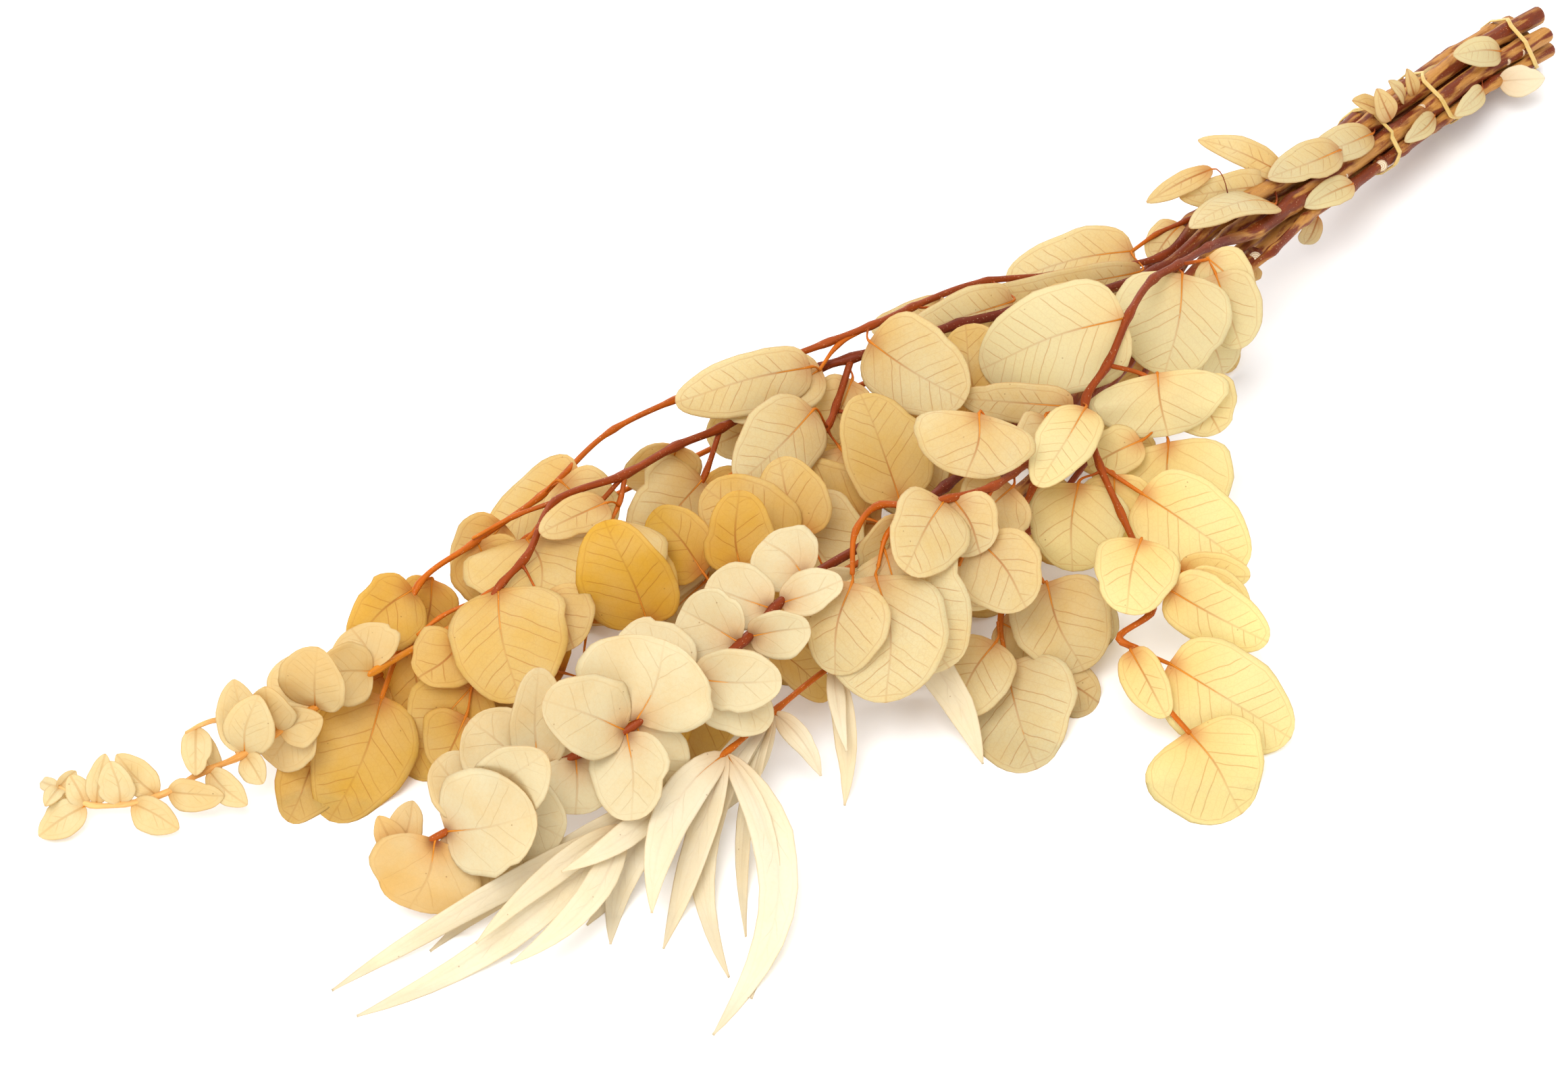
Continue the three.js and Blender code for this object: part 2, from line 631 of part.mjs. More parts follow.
      leaf([560, 990], [468, 1000], 97, 3, -6, { kind: "round" }),
      leaf([460, 1052], [470, 960], 106, 2, -6, { kind: "round" }),
      leaf([460, 1052], [416, 978], 97, -4, 12, { kind: "round" }),
      leaf([460, 1052], [400, 1130], 103, -4, 6, { kind: "round" }),
      leaf([405, 1088], [478, 1062], 67, 3, 14),
      leaf([405, 1088], [393, 1016], 76, 1, -8),
      leaf([355, 1120], [382, 1030], 80, 2, 0),
      leaf([355, 1120], [346, 1006], 69, -4, 14),
      leaf([322, 1066], [362, 998], 60, 0, 10),
      leaf([322, 1066], [376, 1044], 53, 3, -14),
      leaf([355, 1120], [390, 1160], 48, 2, 20),
      leaf([298, 1073], [257, 1043], 44, 1, 10),
      leaf([298, 1073], [290, 1148], 48, 2, 0),
      leaf([298, 1073], [322, 1154], 46, -2, 16),
      leaf([300, 1143], [366, 1192], 48, 2, 10),
      leaf([240, 1176], [332, 1178], 55, 2, 20),
      leaf([240, 1176], [173, 1117], 53, 1, -8),
      leaf([187, 1190], [163, 1127], 57, 2, 0),
      leaf([187, 1190], [265, 1227], 57, 1, 12),
      leaf([135, 1192], [156, 1116], 39, 1, 0),
      leaf([135, 1192], [104, 1148], 41, -1, 10),
      leaf([135, 1192], [57, 1238], 55, 2, 6),
      leaf([110, 1180], [87, 1222], 30, 0, 10),
      leaf([88, 1167], [113, 1141], 25, 1, 10),
      leaf([88, 1167], [67, 1194], 28, 1, 0),
      leaf([88, 1167], [60, 1157], 23, 0, 20),
    ],
  },
};

// A woody stem without leaves, whose end shows in the gap under the upper leaves.
const BARE = {
  bare_woody_stem: {
    wood: [
      [1750, 425, 46],
      [1680, 482, 48],
      [1600, 575, 44],
      [1550, 690, 42],
      [1480, 752, 50],
    ],
    thick: 2.9,
    thin: 2.6,
    twigs: [],
  },
};

// Stems that the picture hides, their wood and how many leaves they have.
const HIDDEN = {
  leafy_stem_under: {
    kind: "plain",
    sides: 4,
    wood: [
      [1700, 500, 24],
      [1600, 600, 23],
      [1480, 700, 25],
      [1350, 790, 27],
      [1220, 860, 27],
      [1100, 920, 26],
      [980, 970, 23],
      [870, 1010, 19],
    ],
    thick: 1.3,
    thin: 0.85,
    twigs: [],
    count: 22,
  },
  leafy_stem_back: {
    kind: "plain",
    sides: 4,
    wood: [
      [1690, 405, 31],
      [1600, 440, 29],
      [1450, 500, 27],
      [1300, 560, 25],
      [1150, 620, 25],
      [1000, 690, 25],
      [860, 760, 22],
      [740, 840, 19],
    ],
    thick: 1.3,
    thin: 0.85,
    twigs: [],
    count: 30,
  },
};

// The picture place of everything that the leaves in front cover: hidden leaves stay inside it.
const COVER = [
  [1880, 330],
  [1760, 330],
  [1480, 435],
  [1230, 530],
  [1010, 610],
  [900, 680],
  [720, 800],
  [620, 900],
  [520, 1040],
  [560, 1180],
  [660, 1270],
  [900, 1200],
  [1150, 1080],
  [1240, 960],
  [1340, 1000],
  [1500, 1080],
  [1640, 960],
  [1780, 800],
  [1820, 640],
];

// ---------------------------------------------------------------- laying out one stem
const SUNK = 0.45; // a stalk starts this share of the twig's radius out from its middle
const SUNK_END = 1; // and this far back from a twig's end, in millimetres
const SLIDE = 1.6; // and this far along the twig from its knot, the way that the leaf grows

// Every point of a stem's wood and twigs, where a stalk or a twig can start, with its picture place.
function nearest(joints, uv) {
  const far = (j) => Math.hypot(j.uv[0] - uv[0], j.uv[1] - uv[1]);
  return joints.reduce((best, j) => (far(j) < far(best) ? j : best));
}

function layOutWood(name, stem) {
  const seat = seatPoints(name);
  const points = [...seat, ...stem.wood.map(atHeight)];
  const radius = SEATS[name][2];
  const radii = points.map((p, i) => {
    const out = (i - seat.length) / (stem.wood.length - 1);
    return out < 0 ? radius * THINNING[i] : THREE.MathUtils.lerp(stem.thick, stem.thin, out);
  });
  const joints = points.map((point, i) => {
    const run = points[Math.max(i, 1)].clone().sub(points[Math.max(i, 1) - 1]).normalize();
    return { point, uv: pictured(point), sunk: SUNK * radii[i], run, slide: SLIDE };
  });
  Object.assign(joints[joints.length - 1], { sunk: -SUNK_END, slide: 0 });
  const rods = [{ points, radii, sides: stem.sides ?? 5 }];
  for (const { points: route, lean, radius: thick } of stem.twigs) {
    const start = nearest(joints, route[0]);
    const deep = depthOf(start.point);
    const steps = route.length - 1;
    const spots = route.map((uv, i) => atDepth(uv, deep - (lean * i) / steps));
    spots[0] = start.point;
    rods.push({
      points: spots,
      radii: spots.map((p, i) => thick * (1 - (0.3 * i) / steps)),
      sides: 4,
    });
    spots.slice(1).forEach((point, i) => {
      const run = point.clone().sub(spots[i]).normalize();
      const inner = i + 1 < steps;
      const [sunk, slide] = inner ? [SUNK * thick, SLIDE] : [-SUNK_END, 0];
      joints.push({ point, uv: route[i + 1], sunk, run, slide });
    });
  }
  return { rods, joints };
}

function pictured(point) {
  const from = point.clone().sub(EYE);
  const deep = -from.dot(BACK);
  return [
    PICTURE.width / 2 + (from.dot(RIGHT) / deep) * PICTURE.focal,
    PICTURE.height / 2 - (from.dot(UP) / deep) * PICTURE.focal,
  ];
}

// ---------------------------------------------------------------- one leaf, with what may be tried to bend it clear
const SHIFTS = [0, 4, -4, 8, -8, 12, -12, 17, -17, 23, -23, 30, -30]; // towards the viewer, at the tip
const ROLLS = [0, 18, -18, 36, -36]; // degrees about the leaf's own length
const TRIES = ROLLS.flatMap((roll) => SHIFTS.map((shift) => ({ roll, shift })));
const STALK_LIFT = 2; // how far a blade's base stands in front of its twig
const BEHIND = -8; // a leaf that leans back by this or more hangs behind its twig instead
const PRESS = -6; // how far under the surface a tip would hang, if it did not come to lie on it

function layOutLeaf(stem, joints, spec, { roll, shift }) {
  const joint = nearest(joints, spec.base);
  const near = Math.hypot(joint.uv[0] - spec.base[0], joint.uv[1] - spec.base[1]);
  const sessile = stem.sessile || near < 12;
  const lift = spec.lean > BEHIND ? STALK_LIFT : -STALK_LIFT;
  const deep = depthOf(joint.point) - (sessile ? 0 : lift + 0.4 * shift);
  let base = sessile ? joint.point : atDepth(spec.base, deep);
  let tip = atDepth(spec.tip, deep - spec.lean - shift);
  if (tip.z < PRESS) tip = atHeight([...spec.tip, PRESS]);
  const along = tip.clone().sub(base).normalize();
  const outwards = sessile ? along : base.clone().sub(joint.point).normalize();
  const slide = joint.slide * Math.sign(outwards.dot(joint.run));
  const start = joint.point.clone().addScaledVector(outwards, joint.sunk).addScaledVector(joint.run, slide);
  if (sessile) base = start;
  const facing = BACK.clone().applyAxisAngle(along, THREE.MathUtils.degToRad(spec.roll + roll));
  const width = (spec.width * deep) / PICTURE.focal;
  const kind = spec.kind ?? stem.kind;
  return new Blade({ ...spec, stalk: sessile ? undefined : start, base, tip, facing, width, kind });
}

// ---------------------------------------------------------------- hidden leaves, by rule
const GOLDEN = 0.61803398875;
const HIDDEN_TRIES = 12;
const TURN = [35, 115]; // degrees in the picture between a hidden leaf and its stem, least and most
const STALKS = [35, 95]; // pixels
const LENGTHS = [115, 175];
const SLENDER = 0.88; // width of a hidden leaf over its length
const LEANS = [-14, 8];
const ROLL = [-22, 22];

const share = (n) => (n * GOLDEN) % 1; // evenly spread shares of one
const between = ([low, high], n) => low + (high - low) * share(n);

// The i-th hidden leaf of a stem, left or right of it in turn. Its slant and size come from the shares, and
// each attempt gives it others.
function hiddenLeaf(stem, joints, i, attempt) {
  const wood = joints.slice(BUNDLE.length);
  const k = Math.round(((i + 0.5) / stem.count) * (wood.length - 1));
  const ahead = wood[Math.min(k + 1, wood.length - 1)].uv;
  const behind = wood[Math.max(k - 1, 0)].uv;
  const run = Math.atan2(ahead[1] - behind[1], ahead[0] - behind[0]);
  const turn = THREE.MathUtils.degToRad(between(TURN, 11 * i + 5 * attempt)) * (i % 2 ? 1 : -1);
  const stalk = between(STALKS, 17 * i + attempt);
  const length = between(LENGTHS, 19 * i + 2 * attempt);
  const [u, v] = wood[k].uv;
  const place = (far) => [u + far * Math.cos(run + turn), v + far * Math.sin(run + turn)];
  const lean = between(LEANS, 7 * i + 3 * attempt);
  return leaf(place(stalk), place(stalk + length), SLENDER * length, lean, between(ROLL, 13 * i + attempt));
}

function insideCover([u, v]) {
  let inside = false;
  COVER.forEach(([u1, v1], i) => {
    const [u2, v2] = COVER[(i + 1) % COVER.length];
    if (v1 > v !== v2 > v && u < u1 + ((v - v1) / (v2 - v1)) * (u2 - u1)) inside = !inside;
  });
  return inside;
}

const OUTLINE = [[0, 0], [0.3, 1], [0.3, -1], [0.7, 1], [0.7, -1], [1, 0]];
const covered = (blade) => OUTLINE.every(([s, t]) => insideCover(pictured(blade.at(s, t).point)));

// ---------------------------------------------------------------- elastic bands round the bundle
// Each band: the bundle point it sits at, how far it slants along the bundle, and the side that leads.
const BANDS = {
  elastic_band_end: { seat: 0.85, slant: 5, lead: 0.6 },
  elastic_band_middle: { seat: 2.75, slant: 11, lead: 0.9 },
  elastic_band_inner: { seat: 4.1, slant: 6, lead: -0.4 },
};
const BAND_SPANS = 22;
const BAND_SECTION = [[0, -1], [0, 1], [1, 1], [1, -1]]; // outwards, along

// A loop of rectangular section, stretched round the outermost stems at every angle.
function bandSolid({ seat, slant, lead }) {
  const i = Math.floor(seat);
  const frames = [bundleFrame(i), bundleFrame(i + 1)];
  const [along, across, up] = ["along", "across", "up"].map((way) =>
    frames[0][way].clone().lerp(frames[1][way], seat - i).normalize(),
  );
  const middle = BUNDLE[i].clone().lerp(BUNDLE[i + 1], seat - i);
  const ring = [];
  for (let k = 0; k < BAND_SPANS; k++) {
    const angle = (2 * Math.PI * k) / BAND_SPANS;
    const [dx, dy] = [Math.cos(angle), Math.sin(angle)];
    const reach = ([x, y, r]) => x * dx + y * dy + r;
    const [x, y, r] = Object.values(SEATS).reduce((best, c) => (reach(c) > reach(best) ? c : best));
    const shift = slant * Math.cos(angle - lead);
    for (const [out, wide] of BAND_SECTION) {
      const far = r + BAND_SLACK + out * BAND_THICK;
      const point = middle.clone().addScaledVector(across, x + far * dx).addScaledVector(up, y + far * dy);
      ring.push(point.addScaledVector(along, shift + (wide * BAND_WIDE) / 2));
    }
  }
  const faces = [];
  const sides = BAND_SECTION.length;
  for (let k = 0; k < BAND_SPANS; k++)
    for (let c = 0; c < sides; c++) {
      const [a, b] = [c, (c + 1) % sides].map((corner) => sides * k + corner);
      const [a2, b2] = [c, (c + 1) % sides].map((corner) => sides * ((k + 1) % BAND_SPANS) + corner);
      faces.push([a, b2, a2], [a, b, b2]);
    }
  return solid(ring, faces);
}

// ---------------------------------------------------------------- growing everything so that nothing crosses
const grown = []; // every piece so far: { node, part, body, box }

function grow(node, part, body) {
  grown.push({ node, part, body, box: body.boundingBox() });
}

function boxesMeet(a, b) {
  return [0, 1, 2].every((k) => a.min[k] <= b.max[k] && b.min[k] <= a.max[k]);
}

function meets(probe, pieces) {
  const box = probe.boundingBox();
  return pieces.some((piece) => {
    if (!boxesMeet(box, piece.box)) return false;
    const common = probe.intersect(piece.body);
    const empty = common.isEmpty();
    common.delete();
    return !empty;
  });
}

// Whether a leaf keeps its air to some pieces, and its body alone to some others.
function standsClear(blade, pieces, bodyPieces) {
  const whole = blade.solid(GAP);
  const hit = meets(whole, pieces);
  whole.delete();
  if (hit || !bodyPieces.length) return !hit;
  const body = blade.solid(GAP / 3, true);
  const touched = meets(body, bodyPieces);
  body.delete();
  return !touched;
}

// The first blade that stands clear: of everything but what it grows from if one does, and otherwise of the
// other stems.
function bentClear(node, blades, choosy) {
  const others = grown.filter((piece) => piece.node !== node);
  const own = grown.filter((piece) => piece.node === node);
  const leaves = own.filter((piece) => piece.part === "leaf");
  const wood = own.filter((piece) => piece.part === "wood");
  const best =
    blades.find((blade) => (blade.stalk ? standsClear(blade, [...others, ...leaves], wood) : false)) ??
    blades.find((blade) => standsClear(blade, others, own));
  if (best || choosy) return best;
  return blades.find((blade) => standsClear(blade, others, []));
}

const wood = {};
for (const [node, stem] of Object.entries({ ...STEMS, ...HIDDEN, ...BARE })) {
  wood[node] = layOutWood(node, stem);
  for (const { points, radii, sides } of wood[node].rods) grow(node, "wood", rod(points, radii, sides));
}
for (const [node, band] of Object.entries(BANDS)) grow(node, "band", bandSolid(band));

for (const [node, stem] of Object.entries(STEMS))
  for (const spec of stem.leaves) {
    const blades = TRIES.map((bend) => layOutLeaf(stem, wood[node].joints, spec, bend));
    const blade = bentClear(node, blades, false);
    if (blade) grow(node, "leaf", blade.solid());
  }

for (const [node, stem] of Object.entries(HIDDEN))
  for (let i = 0; i < stem.count; i++) {
    const { joints } = wood[node];
    const specs = Array.from({ length: HIDDEN_TRIES }, (_, attempt) => hiddenLeaf(stem, joints, i, attempt));
    const blades = specs.flatMap((spec) => SHIFTS.map((shift) => layOutLeaf(stem, joints, spec, { roll: 0, shift })));
    const blade = bentClear(node, blades.filter(covered), true);
    if (blade) grow(node, "leaf", blade.solid());
  }

// ---------------------------------------------------------------- the pieces as meshes
const LEAF_FINISH = { color: "#e8d8ac", roughness: 0.6, metalness: 0 };
const FINISHES = {
  willow_leaved_stem: { color: "#efe6cf", roughness: 0.6, metalness: 0 },
  small_leaved_spray: { color: "#ecd69a", roughness: 0.6, metalness: 0 },
  bare_woody_stem: { color: "#7a4526", roughness: 0.75, metalness: 0 },
  elastic_band_end: { color: "#c9ab58", roughness: 0.45, metalness: 0 },
  elastic_band_middle: { color: "#c9ab58", roughness: 0.45, metalness: 0 },
  elastic_band_inner: { color: "#c9ab58", roughness: 0.45, metalness: 0 },
};

// A piece's solids joined into one body, without scraps.
function joined(node) {
  const bodies = wasm.Manifold.union(grown.filter((piece) => piece.node === node).map((piece) => piece.body));
  return bodies.decompose().reduce((best, body) => (body.volume() > best.volume() ? body : best));
}

const bunch = new THREE.Group();
const reach = new THREE.Box3();
for (const node of new Set(grown.map((piece) => piece.node))) {
  const { vertProperties, triVerts } = joined(node).getMesh();
  const geometry = new THREE.BufferGeometry();
  geometry.setAttribute("position", new THREE.BufferAttribute(vertProperties, 3));
  geometry.setIndex(new THREE.BufferAttribute(triVerts, 1));
  geometry.computeBoundingBox();
  reach.union(geometry.boundingBox);
  const mesh = new THREE.Mesh(geometry, new THREE.MeshStandardMaterial(FINISHES[node] ?? LEAF_FINISH));
  mesh.name = node;
  bunch.add(mesh);
}

// The origin is under the middle of the bunch, on the surface it lies on.
const middle = reach.getCenter(new THREE.Vector3());
bunch.position.set(-middle.x, -middle.y, -reach.min.z);

export default bunch;
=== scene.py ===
import json

import bpy
import numpy as np
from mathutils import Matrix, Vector
from mathutils.kdtree import KDTree

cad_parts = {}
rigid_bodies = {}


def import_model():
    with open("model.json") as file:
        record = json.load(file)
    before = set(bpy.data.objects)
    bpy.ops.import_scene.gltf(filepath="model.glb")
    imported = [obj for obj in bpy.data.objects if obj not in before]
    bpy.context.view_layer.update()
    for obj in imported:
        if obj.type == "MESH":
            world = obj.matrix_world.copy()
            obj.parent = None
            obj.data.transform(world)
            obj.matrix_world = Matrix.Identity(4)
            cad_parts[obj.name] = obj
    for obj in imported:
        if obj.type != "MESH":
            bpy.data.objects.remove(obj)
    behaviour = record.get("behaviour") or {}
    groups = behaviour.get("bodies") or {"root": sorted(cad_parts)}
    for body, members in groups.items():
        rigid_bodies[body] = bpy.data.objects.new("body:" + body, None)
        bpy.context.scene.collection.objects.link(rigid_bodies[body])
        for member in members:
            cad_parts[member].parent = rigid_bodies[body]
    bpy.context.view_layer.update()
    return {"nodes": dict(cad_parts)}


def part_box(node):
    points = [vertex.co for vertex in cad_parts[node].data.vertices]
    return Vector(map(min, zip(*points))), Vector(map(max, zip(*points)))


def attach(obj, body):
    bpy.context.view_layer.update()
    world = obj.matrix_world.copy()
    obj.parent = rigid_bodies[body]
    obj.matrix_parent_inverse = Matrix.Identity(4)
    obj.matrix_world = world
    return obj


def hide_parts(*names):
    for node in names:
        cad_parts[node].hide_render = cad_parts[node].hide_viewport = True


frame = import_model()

# ------------------------------------------------------------------ the bundle
# Ten woody stems, cut to about one length, run side by side from the cut ends to the neck of the bunch,
# which lies on a table. Each has its seat beside the bundle's middle line.

# Every stem and leaf was read from one view, from above at a slant. A place in it is (right, down) in its
# picture. With a height over the table, or a depth along the view, it is a point, in millimetres.
PICTURE = np.array((2322, 1596))
LENS, SENSOR = 85, 36
FOCAL = LENS / SENSOR * PICTURE[0]  # the width in the picture of a thing that is as wide as it is far away
DISTANCE = 1208  # from the eye to what it aims at
AIM = np.array((0, 0, 40))
AZIMUTH, ELEVATION = np.radians((-40, 40))
BACK = np.array((
    np.sin(AZIMUTH) * np.cos(ELEVATION),
    -np.cos(AZIMUTH) * np.cos(ELEVATION),
    np.sin(ELEVATION),
))
RIGHT = np.array((np.cos(AZIMUTH), np.sin(AZIMUTH), 0))
UP = np.cross(BACK, RIGHT)
EYE = AIM + DISTANCE * BACK


def sight(uv):
    """Way from the eye through picture places, one millimetre deep along the view."""
    across, down = np.moveaxis((np.asarray(uv) - PICTURE / 2) / FOCAL, -1, 0)
    return across[..., None] * RIGHT - down[..., None] * UP - BACK


def at_height(places):
    """Points on the sight lines of (right, down, height) rows, at that height over the table."""
    places = np.asarray(places, float)
    way = sight(places[..., :2])
    return EYE + way * ((places[..., 2] - EYE[2]) / way[..., 2])[..., None]


def unit(ways):
    return ways / np.linalg.norm(ways, axis=-1, keepdims=True)


BUNDLE = at_height([
    (2276, 50, 11.5), (2228, 76, 13.5), (2172, 108, 16), (2100, 160, 20),
    (2034, 206, 24), (1956, 262, 29), (1884, 308, 35), (1822, 350, 41),
])
# name: how far across towards the viewer from the bundle's middle line, how far up from it, the radius
SEATS = {
    "leafy_stem_dark_red": (-1, 8, 3.7),
    "leafy_stem_right": (6.8, 4.2, 3.6),
    "leafy_stem_front": (7, -3.8, 3.4),
    "bare_woody_stem": (-0.6, 0.2, 3.4),
    "leafy_stem_under": (0.2, -7.4, 3.3),
    "leafy_stem_top": (-7.8, 4.4, 3.5),
    "round_leaved_stem": (-7.4, -3.4, 3.2),
    "willow_leaved_stem": (12.2, 0.4, 2.2),
    "small_leaved_spray": (-12.4, 0.6, 2.1),
    "leafy_stem_back": (-13.3, -5.2, 2.6),
}


def bundle_ways():
    """At each bundle point: along it (from the point before to the point after), level across, and up."""
    line = np.vstack((BUNDLE[:1], BUNDLE, BUNDLE[-1:]))
    along = unit(line[2:] - line[:-2])
    across = -unit(np.cross(along, (0, 0, 1)))
    return along, across, np.cross(along, across)


# ------------------------------------------------------------------ elastic bands
# Three rubber bands hold the woody stems together. Each is stretched round the outermost stems, at a
# slant, and the one nearest the leaves goes round twice, its two turns twisted about each other.
# name: the bundle point it sits at, how far it slants along the bundle, the side that leads, its turns
BANDS = {
    "elastic_band_end": (0.85, 5, 0.6, 1),
    "elastic_band_middle": (2.75, 11, 0.9, 1),
    "elastic_band_inner": (4.1, 6, -0.4, 2),
}
BAND_SLACK, BAND_WIDE, BAND_THICK, BAND_SPANS = 0.45, 2.2, 1.3, 22  # of the plain solid
FINE_SPANS, SECTION_SIDES, STRAND_THICK = 168, 12, 0.75
STRAND_WIDE = {1: 2.4, 2: 1.7}  # by the number of turns
STRAND_APART, STRAND_LIFT = 0.75, 0.25  # how far each of two turns sways from their middle, along and out
SQUARENESS = 0.6  # of a band's section: 1 is an ellipse, towards 0 a rectangle
MM = 0.001  # pieces are worked out in millimetres and laid in the frame in metres


def hex_shade(code):
    """Linear red, green and blue of a colour given as on a paint chart."""
    part = np.array([int(code[i:i + 2], 16) for i in (1, 3, 5)]) / 255
    return tuple(np.where(part <= 0.04045, part / 12.92, ((part + 0.055) / 1.055) ** 2.4)) + (1.0,)


def laid_in(name, data):
    """A new object of the scene, at the origin."""
    thing = bpy.data.objects.new(name, data)
    bpy.context.scene.collection.objects.link(thing)
    return thing


def joined_mesh(name, shells, finish):
    """One object from shells, each a dict of points, faces and values per point."""
    firsts = np.cumsum([0] + [len(shell["points"]) for shell in shells])
    points = (np.vstack([shell["points"] for shell in shells]) + SHIFT) * MM
    faces = np.vstack([shell["faces"] + first for shell, first in zip(shells, firsts)])
    mesh = bpy.data.meshes.new(name)
    mesh.vertices.add(len(points))
    mesh.vertices.foreach_set("co", points.ravel().astype(np.float32))
    mesh.loops.add(faces.size)
    mesh.loops.foreach_set("vertex_index", faces.ravel().astype(np.int32))
    mesh.polygons.add(len(faces))
    mesh.polygons.foreach_set("loop_start", np.arange(0, faces.size, 4, dtype=np.int32))
    mesh.update(calc_edges=True)
    for key in shells[0]["values"]:
        values = np.concatenate([shell["values"][key] for shell in shells]).astype(np.float32)
        kind, field = ("FLOAT_VECTOR", "vector") if values.ndim == 2 else ("FLOAT", "value")
        mesh.attributes.new(key, kind, "POINT").data.foreach_set(field, values.ravel())
    mesh.shade_smooth()
    mesh.materials.append(finish)
    return laid_in(name, mesh)


class Finish:
    """A material being put together: each method adds one step and gives back its result."""

    def __init__(self, name):
        self.material = bpy.data.materials.new(name)
        self.material.use_nodes = True
        self.tree = self.material.node_tree
        self.tree.nodes.clear()

    def step(self, kind, inputs=(), **settings):
        node = self.tree.nodes.new("ShaderNode" + kind)
        for key, value in settings.items():
            setattr(node, key, value)
        for key, value in dict(inputs).items():
            if isinstance(value, bpy.types.NodeSocket):
                self.tree.links.new(value, node.inputs[key])
            else:
                node.inputs[key].default_value = value
        return node

    def value(self, name, out="Fac"):
        return self.step("Attribute", attribute_name=name).outputs[out]

    def sum(self, operation, *terms):
        return self.step("Math", enumerate(terms), operation=operation).outputs[0]

    def plus(self, *terms):
        return self.sum("ADD", *terms)

    def less(self, *terms):
        return self.sum("SUBTRACT", *terms)

    def times(self, *terms):
        return self.sum("MULTIPLY", *terms)

    def ease(self, value, low, high, least=0.0, most=1.0):
        """A smooth step from least at low to most at high."""
        inputs = {"Value": value, "From Min": low, "From Max": high, "To Min": least, "To Max": most}
        return self.step("MapRange", inputs, interpolation_type="SMOOTHSTEP").outputs[0]

    def blend(self, share, first, second, how="MIX"):
        """From the first colour to the second by a share. A colour is a result, or a code."""
        first, second = (hex_shade(each) if isinstance(each, str) else each for each in (first, second))
        node = self.step("Mix", {0: share, 6: first, 7: second}, data_type="RGBA", blend_type=how)
        return node.outputs[2]

    def noise(self, place, scale, detail=2.0, rough=0.5):
        inputs = {"Vector": place, "Scale": scale, "Detail": detail, "Roughness": rough}
        return self.step("TexNoise", inputs).outputs["Fac"]

    def stretch(self, place, scale):
        return self.step("Mapping", {"Vector": place, "Scale": scale}).outputs[0]

    def ramp(self, value, stops):
        node = self.step("ValToRGB", {"Fac": value})
        elements = node.color_ramp.elements
        while len(elements) < len(stops):
            elements.new(1.0)
        for element, (place, code) in zip(elements, stops):
            element.position = place
            element.color = hex_shade(code)
        return node.outputs["Color"]

    def bump(self, height, distance, strength=1.0):
        inputs = {"Height": height, "Distance": distance, "Strength": strength}
        return self.step("Bump", inputs).outputs[0]

    def skin(self, **looks):
        """A plain surface; an underscore stands for each space in the name of a setting."""
        inputs = {key.replace("_", " "): value for key, value in looks.items()}
        return self.step("BsdfPrincipled", inputs).outputs[0]

    def surface(self, shader):
        self.tree.links.new(shader, self.step("OutputMaterial").inputs["Surface"])
        return self.material


def dress(piece, slot, *nodes):
    """Says which body the piece moves with and which solids it stands for; the slot is not used."""
    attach(piece, "root")
    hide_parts(*nodes)


def band_line(seat, slant, lead, spans):
    """The loop's inner line: at each angle, the outside of the stem that reaches furthest that way,
    moved along the bundle by slant times the cosine of the angle from lead. Gives the line, and the
    ways outwards and along."""
    i = int(seat)
    along, side, rise = (unit(way[i] + (way[i + 1] - way[i]) * (seat - i)) for way in bundle_ways())
    middle = BUNDLE[i] + (BUNDLE[i + 1] - BUNDLE[i]) * (seat - i)
    angle = np.linspace(0, 2 * np.pi, spans, endpoint=False)
    out = np.stack((np.cos(angle), np.sin(angle)), -1)
    stems = np.array(list(SEATS.values()))
    reach = stems[:, :2] @ out.T + stems[:, 2:]
    x, y, radius = stems[np.argmax(reach, axis=0)].T
    far = (radius + BAND_SLACK)[:, None]
    flat = np.stack((x, y), -1) + far * out
    shift = slant * np.cos(angle - lead)
    line = middle + flat @ np.stack((side, rise)) + shift[:, None] * along
    return line, out @ np.stack((side, rise)), along


def band_solid_middle(seat, slant, lead):
    """The middle of the box round the plain solid of a band, which the frame holds as a node."""
    line, out, along = band_line(seat, slant, lead, BAND_SPANS)
    half = BAND_WIDE / 2 * along
    corners = np.vstack([line + thick * out + aside for thick in (0, BAND_THICK) for aside in (-half, half)])
    return (corners.min(0) + corners.max(0)) / 2


# The frame's origin lies under the middle of the bunch: this is how far that is from the aim of the view.
node_middle = np.mean([list(corner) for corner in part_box("elastic_band_end")], axis=0) / MM
SHIFT = node_middle - band_solid_middle(*BANDS["elastic_band_end"][:3])


def skin_faces(rings, sides, closed=False):
    """Faces between each ring of points and the next, and from the last to the first if it is closed."""
    ring, turn = np.meshgrid(np.arange(rings if closed else rings - 1), np.arange(sides), indexing="ij")
    here, aside = ring * sides + turn, ring * sides + (turn + 1) % sides
    ahead = ((ring + 1) % rings - ring) * sides
    return np.stack((here, aside, aside + ahead, here + ahead), -1).reshape(-1, 4)


def loop_shell(line, out, along, wide, thick):
    """A band's shell: a rounded rectangle carried round the loop. Its corner angle a gives the point
    (cos a, sin a), each to the power SQUARENESS, times half the thickness and half the width."""
    corner = np.linspace(0, 2 * np.pi, SECTION_SIDES, endpoint=False) + np.pi / SECTION_SIDES
    c, s = np.cos(corner), np.sin(corner)
    outwards = np.sign(c) * abs(c) ** SQUARENESS * thick / 2
    sideways = np.sign(s) * abs(s) ** SQUARENESS * wide / 2
    points = line[:, None] + outwards[:, None] * out[:, None] + sideways[:, None] * along
    far = np.arange(len(line))[:, None] * 1.5
    grain = np.stack(np.broadcast_arrays(far, outwards * 4, sideways * 4), -1).reshape(-1, 3)
    faces = skin_faces(*points.shape[:2], closed=True)
    return {"points": points.reshape(-1, 3), "faces": faces, "values": {"grain": grain}}


